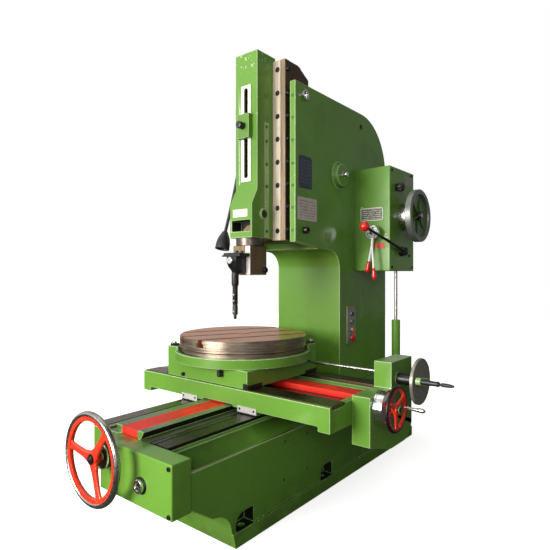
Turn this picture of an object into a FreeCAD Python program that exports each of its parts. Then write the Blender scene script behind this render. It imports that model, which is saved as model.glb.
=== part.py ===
import FreeCAD, Part
import math
import os
from FreeCAD import Vector

# Vertical slotting machine, millimetres.
# X runs across the machine, Y from its front to its back, Z up from the floor.
# The origin is on the floor, midway between the two long ways of the bed.

# Clearances
SLIDE_GAP = 0.3
SIDE_GAP = 0.5
RUN_GAP = 0.05
FREE_GAP = 6.0

# Bed
BED_FRONT = -973.0
BED_LENGTH = 1795.0
WAY_TOP = 398.0
WAY_WIDTH = 102.0
WAY_CENTRE = 182.0
WAY_PLATE = 12.0
WAY_LENGTH = 1160.0
BED_WALL_INSET = 9.0
BED_FLANGE_TOP = 56.0
ANCHOR_INSET = 32.0
TRAY_WIDTH = 123.0
TRAY_HIGH = 372.0
TRAY_LOW = 318.0
LIP_TOP = 340.0
LIP_WIDTH = 16.0
RIB_CENTRE = 69.0
RIB_WIDTH = 40.0
RIB_UNDERCUT = 22.0
RIB_TOP = 421.0
RIB_SETBACK = 7.0
CHANNEL_FLOOR = 384.0
TROUGH_FLOOR = 390.0
COVER_WIDTH = 96.0
COVER_BELOW_RIBS = 2.0
END_FOOT_BACK = 210.0
END_CURVE_TOP = 218.0
END_CURVE_RADIUS = 90.0

# Anchor pockets in the foot of the bed
POCKET_WIDTH = 96.0
POCKET_HEIGHT = 60.0
POCKET_DEPTH = 58.0
POCKET_ROUND = 42.0
POCKET_PITCH = 560.0
POCKET_FIRST = 270.0
POCKET_COUNT = 3
ANCHOR_HOLE_R = 11.0

# Gearbox on the front of the bed
BOX_LEFT = -52.0
BOX_RIGHT = 356.0
BOX_DEPTH = 83.0
BOX_LOW = 214.0
BOX_HIGH = 395.0
WHEEL_X = 2.0
WHEEL_Z = 350.0
WHEEL_STANDOFF = 66.0
WHEEL_RADIUS = 167.0
WHEEL_RIM_R = 12.0
WHEEL_HUB_R = 26.0
WHEEL_HUB_LENGTH = 34.0
WHEEL_HUB_SET = 10.0
SPOKE_WIDTH = 34.0
SPOKE_THICK = 12.0
DIAL_RADIUS = 46.0
DIAL_LENGTH = 30.0
SHAFT_RADIUS = 14.0
SOCKET_X = 196.0
SOCKET_Z = 289.0
SOCKET_RADIUS = 29.0
SOCKET_LENGTH = 16.0
SOCKET_SHAFT_R = 13.0

# Column
COLUMN_HALF = 210.0
COLUMN_FRONT = 203.0
COLUMN_BACK = 755.0
COLUMN_TOP = 1918.0
HEAD_FRONT = -200.0
HEAD_UNDER_FRONT = 1150.0
HEAD_UNDER_BACK = 1120.0
HEAD_THROAT_R = 95.0
HEAD_BACK_R = 305.0
CHEEK_THICK = 32.0
LEFT_CHEEK_SET = 42.0
CAVITY_BACK = 42.0

# Ram guide between the cheeks of the head
GUIDE_SIDE_GAP = 32.0
GUIDE_RISE = 118.0
GUIDE_LIFT = 10.0
GUIDE_WALL = 37.5
GUIDE_BACK = 2.0
GUIDE_CHAMFER_Y = 90.0
GUIDE_CHAMFER_Z = 48.0
STRIP_THICK = 25.0
PIVOT_Y = -128.0
PIVOT_DROP = 54.0
PIVOT_RADIUS = 21.0
PIVOT_COLLAR_R = 27.0
PIVOT_COLLAR_OUT = 14.0
LOCK_LIFT = 59.0
LOCK_RADIUS = 16.0
LOCK_OUT = 26.0

# Ram
RAM_HALF = 70.0
RAM_FRONT = -312.0
RAM_LIFT = 8.0
RAM_RISE = 26.0
RAM_NOSE_FRONT = -352.0
RAM_NOSE_HEIGHT = 162.0
RAM_TAPER_HEIGHT = 75.0
RAM_FLANGE_THICK = 54.0
SLOT_WIDTH = 24.0
SLOT_DEPTH = 30.0
SLOT_ABOVE_NOSE = 53.0
SLOT_BELOW_TOP = 172.0
SLOT_PLATE_WIDTH = 62.0
SLOT_PLATE_THICK = 4.0
SLOT_PLATE_LOWER = 18.0
SLOT_PLATE_UPPER = 14.0
BLOCK_WIDTH = 74.0
BLOCK_PART_OF_SLOT = 116.0 / 432.0
BLOCK_TOP_PART = 304.0 / 432.0
BLOCK_THICK = 26.0
BLOCK_KNOB_R = 17.0
BLOCK_KNOB_LENGTH = 34.0
WINDOW_WIDTH = 118.0
WINDOW_LIFT = 32.0
WINDOW_HEIGHT = 52.0
WINDOW_DEPTH = 70.0
SIDE_BOLT_R = 25.0
SIDE_BOLT_LIFT = 116.0
SIDE_BOLT_Y = -271.0
SIDE_BOLT_OUT = 10.0

# Tool head under the ram
TOOL_COLLAR_R = 68.0
TOOL_COLLAR_Y = -284.0
TOOL_COLLAR_LENGTH = 36.0
CLAPPER_HALF = 55.0
CLAPPER_FRONT = -345.0
CLAPPER_BACK = -226.0
CLAPPER_HEIGHT = 140.0
CLAPPER_BOLT_R = 14.0
CLAPPER_BOLT_OUT = 12.0
CLAPPER_BOLT_LIFT = 24.0
HOLDER_HALF = 30.0
HOLDER_THICK = 72.0
TOOL_FORWARD = 45.0
HOLDER_LIFT = 8.0
HOLDER_HEIGHT = 78.0
HOLDER_FLANGE_HALF = 52.0
HOLDER_FLANGE_HEIGHT = 18.0
TOOL_BODY_R = 17.0
TOOL_BODY_LENGTH = 58.0
TOOL_BAR_R = 12.5
TOOL_BAR_LENGTH = 136.0
TOOL_TIP_R = 7.0
TOOL_TIP_LENGTH = 20.0

# Work lamp
LAMP_ARM_R = 9.0
LAMP_OUT = 14.0
LAMP_FORWARD = (-10.0, 94.0, 116.0)
LAMP_RISE = (400.0, 47.0, -39.0)
LAMP_SHADE_SMALL_R = 17.0
LAMP_SHADE_LARGE_R = 36.0

# Feed gearbox on the right of the column
FEED_WIDTH = 212.0
FEED_FRONT = 370.0
FEED_DEPTH = 318.0
FEED_LOW = 1012.0
FEED_HIGH = 1582.0
FEED_WHEEL_Y = 545.0
FEED_WHEEL_Z = 1318.0
FEED_WHEEL_R = 145.0
FEED_WHEEL_RIM = 28.0
FEED_WHEEL_WIDTH = 34.0
FEED_WHEEL_DISH = 20.0
FEED_DRUM_R = 78.0
FEED_DRUM_LENGTH = 62.0
SELECTOR_Y = 452.0
SELECTOR_Z = 1472.0
SELECTOR_R = 26.0
SELECTOR_LENGTH = 44.0
CLUTCH_Y = 508.0
CLUTCH_Z = 1122.0
CLUTCH_LENGTH = 480.0
CLUTCH_ROD_R = 8.0
CLUTCH_BALL_R = 24.0
CLUTCH_RISE = 12.4
CLUTCH_HUB_R = 22.0
CLUTCH_HUB_HALF = 11.0
CLUTCH_COLLAR = 14.0
CLUTCH_OUT = 26.0
GEAR_X = 341.0
GEAR_Z = 1220.0
GEAR_DISC_Y = 316.0
GEAR_DISC_R = 40.0
GEAR_DISC_THICK = 10.0
GEAR_HUB_HALF = 8.0
GEAR_LEVER_R = 6.0
GEAR_GRIP_R = 13.0
GEAR_GRIP_LENGTH = 60.0
INNER_LEVER = {"hub_y": 361.0, "grip_y": 345.0, "length": 158.0, "lean": -11.4}
OUTER_LEVER = {"hub_y": 343.0, "grip_y": 310.0, "length": 193.0, "lean": 4.4}

# Feed shaft down the back of the feed gearbox
FEED_SHAFT_X = 322.0
FEED_SHAFT_Y = 662.0
FEED_SHAFT_R = 9.0
SHAFT_COVER_R = 25.0
SHAFT_COVER_TOP = 722.0

# Fittings on the side of the column
BOSS_Y = 196.0
BOSS_Z = 1524.0
BOSS_RADIUS = 70.0
BOSS_OUT = 26.0
BOSS_PIN_R = 20.0
BOSS_PIN_OUT = 30.0
PANEL = (268.0, 362.0, 612.0, 815.0)
PANEL_THICK = 10.0
BUTTON_R = 15.0
BUTTON_OUT = 16.0
STOP_R = 24.0
BUTTON_PITCH = 44.0

# Saddle
SADDLE_FRONT = -508.0
SADDLE_DEPTH = 548.0
SADDLE_LEFT = -539.0
SADDLE_RIGHT = 596.0
SADDLE_TOP = 497.0
APRON_LOW = 417.0
SADDLE_FOOT_WIDTH = 56.0
SADDLE_OVER_RIBS = 5.0
CROSS_WAY_WIDTH = 96.0
CROSS_WAY_INSET = 14.0
CROSS_WAY_PLATE = 14.0
CROSS_DECK = 468.0
CROSS_COVER_WIDTH = 80.0
CROSS_COVER_Y = -215.0
CROSS_COVER_TOP = 494.0
WIPER_WIDTH = 108.0
WIPER_HEIGHT = 14.0
WIPER_THICK = 6.0

# Carriage and rotary table
CARRIAGE_LEFT = -355.0
CARRIAGE_NARROWER = 102.0
CARRIAGE_FRONT = -499.0
CARRIAGE_SHORTER = 100.0
CARRIAGE_TOP = 578.0
EAR_SIZE = 70.0
EAR_TOP = 642.0
RING_OUT = 23.0
RING_HIGH = 622.0
RING_GAP = 3.0
RING_FLOOR = 606.0
TABLE_RADIUS = 315.0
TABLE_TOP = 698.0
TABLE_RIM_LOW = 640.0
TABLE_FOOT_IN = 6.0
TABLE_BORE_R = 30.0
TSLOT_PITCH = 150.0
TSLOT_WIDTH = 22.0
TSLOT_HEAD = 38.0
TSLOT_NECK_DEPTH = 18.0
TSLOT_DEPTH = 36.0
TSLOT_ANGLE = 65.0
CLAMP_R = 9.0
CLAMP_HEIGHT = 26.0

# Cross feed box on the right end of the saddle
CROSS_BOX_WIDTH = 81.0
CROSS_BOX_FRONT = -346.0
CROSS_BOX_BACK = 56.0
CROSS_BOX_LOW = 319.0
CROSS_BOX_REAR_LOW = 265.0
CROSS_BOX_STEP = -155.0
CROSS_BOX_HIGH = 515.0
CROSS_BOX_RISE = 111.0
CROSS_BOX_ROUND = 85.0
CROSS_WHEEL_Y = -260.0
CROSS_WHEEL_Z = 466.0
CROSS_WHEEL_R = 93.0
CROSS_WHEEL_RIM_R = 9.0
CROSS_WHEEL_OUT = 70.0
CROSS_HUB_R = 20.0
CROSS_HUB_LENGTH = 28.0
CROSS_SPOKE_WIDTH = 24.0
CROSS_SPOKE_THICK = 9.0
CROSS_DIAL_R = 72.0
CROSS_DIAL_LENGTH = 44.0
CROSS_HANDLE_R = 9.0
CROSS_HANDLE_LENGTH = 86.0
CROSS_HANDLE_REACH = 78.0
CROSS_HANDLE_DROP = 8.0
INDEX_Y = -95.0
INDEX_DROP = 75.0
INDEX_R = 96.0
INDEX_THICK = 14.0
INDEX_OUT = 92.0
INDEX_BOSS_R = 24.0
INDEX_FLANGE_R = 40.0
INDEX_FLANGE_THICK = 14.0
CRANK_LENGTH = 80.0
CRANK_END = 11.0
CRANK_ANGLE = 12.0
CRANK_WIDTH = 34.0
CRANK_THICK = 22.0
CRANK_GRIP_R = 11.0
CRANK_GRIP_LENGTH = 76.0
CRANK_END_R = 8.0
CRANK_END_LENGTH = 56.0
TABLE_SHAFT_R = 7.0
TABLE_SHAFT_LEFT = -190.0
TABLE_SHAFT_GAP = 1.5
TABLE_SHAFT_Y = -80.0
TABLE_SHAFT_Z = 566.0

# Worked out from the sizes above
BED_BACK = BED_FRONT + BED_LENGTH
WAY_OUTER = WAY_CENTRE + WAY_WIDTH / 2
WAY_INNER = WAY_CENTRE - WAY_WIDTH / 2
WAY_SEAT = WAY_TOP - WAY_PLATE
WAY_END = BED_FRONT + WAY_LENGTH
BED_LEFT = -WAY_OUTER
BED_RIGHT = WAY_OUTER + TRAY_WIDTH
RIB_IN = RIB_CENTRE - RIB_WIDTH / 2
RIB_OUT = RIB_CENTRE + RIB_WIDTH / 2
RIB_FOOT = RIB_OUT - RIB_UNDERCUT
BOX_FRONT = BED_FRONT - BOX_DEPTH
HEAD_LOW = HEAD_UNDER_BACK - HEAD_THROAT_R
GUIDE_FRONT = HEAD_FRONT
GUIDE_HALF = COLUMN_HALF - CHEEK_THICK - GUIDE_SIDE_GAP
GUIDE_LOW = HEAD_UNDER_FRONT + GUIDE_LIFT
GUIDE_HIGH = COLUMN_TOP + GUIDE_RISE
CHANNEL_HALF = GUIDE_HALF - GUIDE_WALL
PIVOT_Z = COLUMN_TOP - PIVOT_DROP
LOCK_Z = HEAD_UNDER_FRONT + LOCK_LIFT
RAM_FLANGE_HALF = CHANNEL_HALF - SIDE_GAP
RAM_LOW = GUIDE_LOW + RAM_LIFT
RAM_HIGH = GUIDE_HIGH + RAM_RISE
RAM_NOSE_TOP = RAM_LOW + RAM_NOSE_HEIGHT
RAM_TAPER_TOP = RAM_NOSE_TOP + RAM_TAPER_HEIGHT
SLOT_LOW = RAM_TAPER_TOP + SLOT_ABOVE_NOSE
SLOT_HIGH = RAM_HIGH - SLOT_BELOW_TOP
SLOT_PLATE_LOW = SLOT_LOW - SLOT_PLATE_LOWER
SLOT_PLATE_HIGH = SLOT_HIGH + SLOT_PLATE_UPPER
BLOCK_HIGH = SLOT_LOW + (SLOT_HIGH - SLOT_LOW) * BLOCK_TOP_PART
BLOCK_LOW = BLOCK_HIGH - (SLOT_HIGH - SLOT_LOW) * BLOCK_PART_OF_SLOT
WINDOW_LOW = RAM_LOW + WINDOW_LIFT
WINDOW_HIGH = WINDOW_LOW + WINDOW_HEIGHT
SIDE_BOLT_Z = RAM_LOW + SIDE_BOLT_LIFT
COLLAR_LOW = RAM_LOW - TOOL_COLLAR_LENGTH
CLAPPER_LOW = COLLAR_LOW - CLAPPER_HEIGHT
HOLDER_LOW = CLAPPER_LOW + HOLDER_LIFT
HOLDER_HIGH = HOLDER_LOW + HOLDER_HEIGHT
TOOL_BODY_LOW = HOLDER_LOW - TOOL_BODY_LENGTH
TOOL_BAR_LOW = TOOL_BODY_LOW - TOOL_BAR_LENGTH
TOOL_TIP_LOW = TOOL_BAR_LOW - TOOL_TIP_LENGTH
STRIP_BACK = GUIDE_FRONT + STRIP_THICK
FLANGE_FRONT = STRIP_BACK + SIDE_GAP
FLANGE_BACK = FLANGE_FRONT + RAM_FLANGE_THICK
FEED_LEFT = COLUMN_HALF
FEED_RIGHT = COLUMN_HALF + FEED_WIDTH
SADDLE_BACK = SADDLE_FRONT + SADDLE_DEPTH
CROSS_WAY_TOP = SADDLE_TOP + 2.0
CARRIAGE_LOW = CROSS_WAY_TOP + SLIDE_GAP
CARRIAGE_WIDTH = 2 * TABLE_RADIUS - CARRIAGE_NARROWER
CARRIAGE_DEPTH = 2 * TABLE_RADIUS - CARRIAGE_SHORTER
RING_RADIUS = TABLE_RADIUS + RING_OUT
RING_BORE = TABLE_RADIUS + RING_GAP
TABLE_FOOT_R = TABLE_RADIUS - TABLE_FOOT_IN
CARRIAGE_RIGHT = CARRIAGE_LEFT + CARRIAGE_WIDTH
CARRIAGE_BACK = CARRIAGE_FRONT + CARRIAGE_DEPTH
TABLE_X = CARRIAGE_LEFT + CARRIAGE_WIDTH / 2
TABLE_Y = CARRIAGE_FRONT + CARRIAGE_DEPTH / 2
CROSS_BOX_RIGHT = SADDLE_RIGHT + CROSS_BOX_WIDTH
CROSS_BOX_TALL = CROSS_BOX_HIGH + CROSS_BOX_RISE
INDEX_Z = CROSS_BOX_TALL - INDEX_DROP


def box(x0, x1, y0, y1, z0, z1):
    """A block between two corners."""
    return Part.makeBox(x1 - x0, y1 - y0, z1 - z0, Vector(x0, y0, z0))


def soft_box(x0, x1, y0, y1, z0, z1, radius):
    """A block with every edge rounded."""
    block = box(x0, x1, y0, y1, z0, z1)
    return block.makeFillet(radius, block.Edges)


def cylinder(radius, start, end):
    """A round bar from one point to another."""
    a, b = Vector(*start), Vector(*end)
    return Part.makeCylinder(radius, (b - a).Length, a, b - a)


def cone(r0, r1, start, end):
    """A tapered round bar from one point to another."""
    a, b = Vector(*start), Vector(*end)
    return Part.makeCone(r0, r1, (b - a).Length, a, b - a)


def ball(radius, centre):
    return Part.makeSphere(radius, Vector(*centre))


def across(points, x0, x1):
    """A side outline of (y, z) points, from x0 to x1."""
    corners = [Vector(x0, y, z) for y, z in points]
    face = Part.Face(Part.makePolygon(corners + corners[:1]))
    return face.extrude(Vector(x1 - x0, 0, 0))


def along(points, y0, y1):
    """An end outline of (x, z) points, from y0 to y1."""
    corners = [Vector(x, y0, z) for x, z in points]
    face = Part.Face(Part.makePolygon(corners + corners[:1]))
    return face.extrude(Vector(0, y1 - y0, 0))


def round_edges(solid, radius, chosen):
    """Rounds the edges that the test picks."""
    edges = [edge for edge in solid.Edges if chosen(edge)]
    return solid.makeFillet(radius, edges)


def edge_runs(edge, axis):
    """True for a straight edge along the named axis."""
    if edge.Curve.TypeId != "Part::GeomLine":
        return False
    direction = edge.Curve.Direction
    return abs(getattr(direction, axis)) > 0.999


def mirrored(shape):
    """The same shape on the other side of the middle plane."""
    return shape.mirror(Vector(0, 0, 0), Vector(1, 0, 0))


def save(name, *shapes):
    """Writes one node, of one solid or of several that do not touch."""
    shape = shapes[0] if len(shapes) == 1 else Part.makeCompound(list(shapes))
    shape.exportStep(f"parts/{name}.step")


def anchor_rows():
    """The Y places of the anchor pockets."""
    first = BED_FRONT + POCKET_FIRST
    return [first + n * POCKET_PITCH for n in range(POCKET_COUNT)]


def bed():
    """The long bed casting, its tray, dovetail ribs, pockets and curved front foot."""
    left, right = BED_LEFT, BED_RIGHT
    wall = BED_WALL_INSET
    lip_in = right - wall - LIP_WIDTH
    outline = [
        (left, 0), (right, 0),
        (right, BED_FLANGE_TOP), (right - wall, BED_FLANGE_TOP), (right - wall, LIP_TOP),
        (lip_in, LIP_TOP), (lip_in, TRAY_LOW), (WAY_OUTER, TRAY_HIGH), (WAY_OUTER, WAY_SEAT),
        (WAY_INNER, WAY_SEAT), (WAY_INNER, TROUGH_FLOOR), (RIB_FOOT, TROUGH_FLOOR),
        (RIB_OUT, RIB_TOP), (RIB_IN, RIB_TOP), (RIB_IN, CHANNEL_FLOOR),
        (-RIB_IN, CHANNEL_FLOOR), (-RIB_IN, RIB_TOP), (-RIB_OUT, RIB_TOP),
        (-RIB_FOOT, TROUGH_FLOOR), (-WAY_INNER, TROUGH_FLOOR), (-WAY_INNER, WAY_SEAT),
        (-WAY_OUTER, WAY_SEAT), (-WAY_OUTER, BED_FLANGE_TOP), (left, BED_FLANGE_TOP),
    ]
    casting = along(outline, BED_FRONT, WAY_END)
    rear = box(left, right - wall, WAY_END, BED_BACK, BED_FLANGE_TOP, WAY_TOP)
    rear_foot = box(left, right, WAY_END, BED_BACK, 0, BED_FLANGE_TOP)
    casting = casting.fuse([rear, rear_foot]).removeSplitter()
    rib_ends = box(-RIB_OUT - 1, RIB_OUT + 1, BED_FRONT, BED_FRONT + RIB_SETBACK, TROUGH_FLOOR, RIB_TOP)
    casting = casting.cut([rib_ends, front_relief()])
    pockets = []
    for y in anchor_rows():
        pockets.append(pocket(right, -1, y))
        pockets.append(pocket(left, 1, y))
    return casting.cut(pockets)


def front_relief():
    """What is cut away under the front end, leaving a curved foot."""
    toe = BED_FRONT + END_FOOT_BACK
    radius = END_CURVE_RADIUS
    knee = toe - radius - 12
    low, high = Vector(0, toe, 0), Vector(0, toe - 12, BED_FLANGE_TOP)
    top = Vector(0, knee, BED_FLANGE_TOP + radius)
    bend = radius * math.sqrt(0.5)
    middle = Vector(0, knee + bend, BED_FLANGE_TOP + bend)
    far = Vector(0, BED_FRONT, END_CURVE_TOP)
    outside = [Vector(0, BED_FRONT - 10, END_CURVE_TOP), Vector(0, BED_FRONT - 10, 0)]
    edges = [Part.LineSegment(low, high).toShape(), Part.Arc(high, middle, top).toShape(),
             Part.LineSegment(top, far).toShape(), Part.LineSegment(far, outside[0]).toShape(),
             Part.LineSegment(outside[0], outside[1]).toShape(),
             Part.LineSegment(outside[1], low).toShape()]
    face = Part.Face(Part.Wire(edges))
    face.translate(Vector(BED_LEFT - 1, 0, 0))
    return face.extrude(Vector(BED_RIGHT - BED_LEFT + 2, 0, 0))


def pocket(wall_x, inward, y):
    """An anchor pocket and its bolt hole, in the foot of one side."""
    x0, x1 = sorted((wall_x, wall_x + inward * POCKET_DEPTH))
    y0, y1 = y - POCKET_WIDTH / 2, y + POCKET_WIDTH / 2
    hollow = box(x0, x1, y0, y1, BED_FLANGE_TOP, BED_FLANGE_TOP + POCKET_HEIGHT)
    front_top = BED_FLANGE_TOP + POCKET_HEIGHT

    def is_front_top(edge):
        centre = edge.CenterOfMass
        return edge_runs(edge, "x") and centre.y < y and centre.z > front_top - 1

    hollow = round_edges(hollow, POCKET_ROUND, is_front_top)
    hole_x = wall_x + inward * ANCHOR_INSET
    hole = cylinder(ANCHOR_HOLE_R, (hole_x, y, -1), (hole_x, y, BED_FLANGE_TOP + 1))
    return hollow.fuse(hole)


def bed_ways():
    """The two scraped guide strips on which the saddle slides."""
    right = box(WAY_INNER, WAY_OUTER, BED_FRONT, WAY_END, WAY_SEAT, WAY_TOP)
    return mirrored(right), right


def bed_cover():
    """The red cover over the long screw."""
    half = COVER_WIDTH / 2
    return box(-half, half, BED_FRONT + RIB_SETBACK, WAY_END, CHANNEL_FLOOR,
               RIB_TOP - COVER_BELOW_RIBS)


def front_gearbox():
    shell = soft_box(BOX_LEFT, BOX_RIGHT, BOX_FRONT, BED_FRONT, BOX_LOW, BOX_HIGH, 5)
    bearing = cylinder(DIAL_RADIUS, (WHEEL_X, BOX_FRONT, WHEEL_Z),
                       (WHEEL_X, BOX_FRONT - DIAL_LENGTH, WHEEL_Z))
    shaft_out = WHEEL_STANDOFF - WHEEL_HUB_SET + WHEEL_HUB_LENGTH / 2 + 4
    shaft = cylinder(SHAFT_RADIUS, (WHEEL_X, BOX_FRONT + 10, WHEEL_Z),
                     (WHEEL_X, BOX_FRONT - shaft_out, WHEEL_Z))
    return shell.fuse([bearing, shaft]).removeSplitter()


def socket():
    """The steel collar and square-ended shaft for a loose crank."""
    base, face = BOX_FRONT, BOX_FRONT - SOCKET_LENGTH
    collar = cylinder(SOCKET_RADIUS, (SOCKET_X, base, SOCKET_Z), (SOCKET_X, face, SOCKET_Z))
    bore = cylinder(SOCKET_RADIUS - 9, (SOCKET_X, face + 11, SOCKET_Z), (SOCKET_X, face - 1, SOCKET_Z))
    shaft = cylinder(SOCKET_SHAFT_R, (SOCKET_X, base, SOCKET_Z), (SOCKET_X, face - 4, SOCKET_Z))
    return collar.cut(bore).fuse(shaft).removeSplitter()


def spoked_wheel(radius, rim_r, hub_r, hub_length, bore_r, spoke_width, spoke_thick, count, start, hub_set=0.0):
    """A handwheel about +Z at the origin: round rim, flat spokes and bored hub, set back by hub_set."""
    rim = Part.makeTorus(radius - rim_r, rim_r)
    hub = Part.makeCylinder(hub_r, hub_length, Vector(0, 0, -hub_set - hub_length / 2))
    arms = []
    for n in range(count):
        arm = box(0, radius - rim_r, -spoke_width / 2, spoke_width / 2, -spoke_thick / 2, spoke_thick / 2)
        arm.rotate(Vector(0, 0, 0), Vector(0, 0, 1), start + n * 360.0 / count)
        arms.append(arm)
    bore = Part.makeCylinder(bore_r, hub_length + 2, Vector(0, 0, -hub_set - hub_length / 2 - 1))
    return rim.fuse(arms + [hub]).cut(bore).removeSplitter()


def bed_handwheel():
    wheel = spoked_wheel(WHEEL_RADIUS, WHEEL_RIM_R, WHEEL_HUB_R, WHEEL_HUB_LENGTH,
                         SHAFT_RADIUS + RUN_GAP, SPOKE_WIDTH, SPOKE_THICK, 3, 50, WHEEL_HUB_SET)
    wheel.rotate(Vector(0, 0, 0), Vector(1, 0, 0), 90)
    wheel.translate(Vector(WHEEL_X, BOX_FRONT - WHEEL_STANDOFF, WHEEL_Z))
    return wheel


def column():
    """The column with its overhanging head, open in front between two cheeks."""
    half = COLUMN_HALF
    throat_y = COLUMN_FRONT - HEAD_THROAT_R
    under_z = HEAD_UNDER_BACK
    bend = HEAD_THROAT_R * math.sqrt(0.5)
    throat_mid = Vector(-half, throat_y + bend, HEAD_LOW + bend)
    back_r = HEAD_BACK_R
    turn = back_r * math.sqrt(0.5)
    back_mid = Vector(-half, COLUMN_BACK - back_r + turn, COLUMN_TOP - back_r + turn)

    def at(y, z):
        return Vector(-half, y, z)

    foot_front, foot_back = at(COLUMN_FRONT, WAY_TOP), at(COLUMN_BACK, WAY_TOP)
    throat_low, throat_high = at(COLUMN_FRONT, HEAD_LOW), at(throat_y, under_z)
    nose_low, nose_high = at(HEAD_FRONT, HEAD_UNDER_FRONT), at(HEAD_FRONT, COLUMN_TOP)
    arc_high, arc_low = at(COLUMN_BACK - back_r, COLUMN_TOP), at(COLUMN_BACK, COLUMN_TOP - back_r)
    edges = [Part.LineSegment(foot_front, throat_low).toShape(),
             Part.Arc(throat_low, throat_mid, throat_high).toShape(),
             Part.LineSegment(throat_high, nose_low).toShape(),
             Part.LineSegment(nose_low, nose_high).toShape(),
             Part.LineSegment(nose_high, arc_high).toShape(),
             Part.Arc(arc_high, back_mid, arc_low).toShape(),
             Part.LineSegment(arc_low, foot_back).toShape(),
             Part.LineSegment(foot_back, foot_front).toShape()]
    casting = Part.Face(Part.Wire(edges)).extrude(Vector(2 * half, 0, 0))
    inner = half - CHEEK_THICK
    cavity = box(-inner, inner, HEAD_FRONT - 1, CAVITY_BACK, HEAD_LOW - 1, COLUMN_TOP + 1)
    shorter = box(-half - 1, 1 - inner, HEAD_FRONT - 1, HEAD_FRONT + LEFT_CHEEK_SET, HEAD_LOW, COLUMN_TOP + 1)
    boss = cone(BOSS_RADIUS, BOSS_RADIUS - 12, (half, BOSS_Y, BOSS_Z), (half + BOSS_OUT, BOSS_Y, BOSS_Z))
    return casting.cut([cavity, shorter] + pivot_holes(PIVOT_RADIUS)).fuse(boss).removeSplitter()


def side_fittings():
    """The boss pin, button panel, lock knobs and pivot pins on the cheeks."""
    side = COLUMN_HALF
    pin = cylinder(BOSS_PIN_R, (side + BOSS_OUT, BOSS_Y, BOSS_Z),
                   (side + BOSS_OUT + BOSS_PIN_OUT, BOSS_Y, BOSS_Z))
    save("boss_pin", pin)
    y0, y1, z0, z1 = PANEL
    save("button_panel", box(side, side + PANEL_THICK, y0, y1, z0, z1))
    save("buttons", *buttons())
    pivot = pivot_pin()
    save("pivot_pins", mirrored(pivot), pivot)
    lock = cylinder(LOCK_RADIUS, (side, PIVOT_Y, LOCK_Z), (side + LOCK_OUT, PIVOT_Y, LOCK_Z))
    save("tilt_locks", mirrored(lock), lock)


def buttons():
    """The push buttons, with a large stop button at the bottom."""
    y = (PANEL[0] + PANEL[1]) / 2
    base = COLUMN_HALF + PANEL_THICK
    low = PANEL[2] + BUTTON_PITCH - 12
    heads = [cylinder(STOP_R, (base, y, low), (base + BUTTON_OUT, y, low))]
    for n in range(1, 4):
        z = low + n * BUTTON_PITCH
        heads.append(cylinder(BUTTON_R, (base, y, z), (base + BUTTON_OUT, y, z)))
    return heads


def pivot_pin():
    """One of the pins about which the ram guide tilts."""
    start = CHANNEL_HALF + 2 * FREE_GAP
    pin = cylinder(PIVOT_RADIUS, (start, PIVOT_Y, PIVOT_Z), (COLUMN_HALF, PIVOT_Y, PIVOT_Z))
    collar = cylinder(PIVOT_COLLAR_R, (COLUMN_HALF, PIVOT_Y, PIVOT_Z),
                      (COLUMN_HALF + PIVOT_COLLAR_OUT, PIVOT_Y, PIVOT_Z))
    eye = cylinder(PIVOT_RADIUS - 8, (COLUMN_HALF, PIVOT_Y, PIVOT_Z),
                   (COLUMN_HALF + PIVOT_COLLAR_OUT + 1, PIVOT_Y, PIVOT_Z))
    return pin.fuse(collar).cut(eye).removeSplitter()


def pivot_holes(radius):
    """A bore through both cheeks or both guide walls, for the pivot pins."""
    hole = cylinder(radius, (CHANNEL_HALF, PIVOT_Y, PIVOT_Z), (COLUMN_HALF + 1, PIVOT_Y, PIVOT_Z))
    return [hole, mirrored(hole)]


def ram_guide():
    """The casting that holds the ram: a channel with side walls and a top chamfer."""
    y0, y1 = STRIP_BACK, GUIDE_BACK
    outline = [(y0, GUIDE_LOW), (y1, GUIDE_LOW), (y1, GUIDE_HIGH - GUIDE_CHAMFER_Z),
               (y1 - GUIDE_CHAMFER_Y, GUIDE_HIGH), (y0, GUIDE_HIGH)]
    block = across(outline, -GUIDE_HALF, GUIDE_HALF)
    channel = box(-CHANNEL_HALF, CHANNEL_HALF, y0 - 1, FLANGE_BACK + SIDE_GAP, GUIDE_LOW - 1, GUIDE_HIGH + 1)
    return block.cut([channel] + pivot_holes(PIVOT_RADIUS + RUN_GAP))


def guide_strip():
    """The right-hand steel strip that holds the flange of the ram."""
    inner = RAM_HALF + SIDE_GAP
    return box(inner, GUIDE_HALF, GUIDE_FRONT, STRIP_BACK, GUIDE_LOW, GUIDE_HIGH)


def ram():
    """The ram: a hollow-fronted box with a stepped nose and a back flange."""
    outline = [(RAM_NOSE_FRONT, RAM_LOW), (FLANGE_FRONT, RAM_LOW), (FLANGE_FRONT, RAM_HIGH),
               (RAM_FRONT, RAM_HIGH), (RAM_FRONT, RAM_TAPER_TOP), (RAM_NOSE_FRONT, RAM_NOSE_TOP)]
    body = across(outline, -RAM_HALF, RAM_HALF)
    flange = box(-RAM_FLANGE_HALF, RAM_FLANGE_HALF, FLANGE_FRONT, FLANGE_BACK, RAM_LOW, GUIDE_HIGH)
    half = SLOT_WIDTH / 2
    slot = box(-half, half, RAM_FRONT - 1, RAM_FRONT + SLOT_DEPTH, SLOT_LOW, SLOT_HIGH)
    slot = round_edges(slot, half - 0.5, lambda edge: edge_runs(edge, "y"))
    wide = WINDOW_WIDTH / 2
    window = box(-wide, wide, RAM_NOSE_FRONT - 1, RAM_NOSE_FRONT + WINDOW_DEPTH, WINDOW_LOW, WINDOW_HIGH)
    bolt = cylinder(SIDE_BOLT_R, (RAM_HALF, SIDE_BOLT_Y, SIDE_BOLT_Z),
                    (RAM_HALF + SIDE_BOLT_OUT, SIDE_BOLT_Y, SIDE_BOLT_Z))
    return body.fuse([flange, bolt]).removeSplitter().cut([slot, window])


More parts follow.
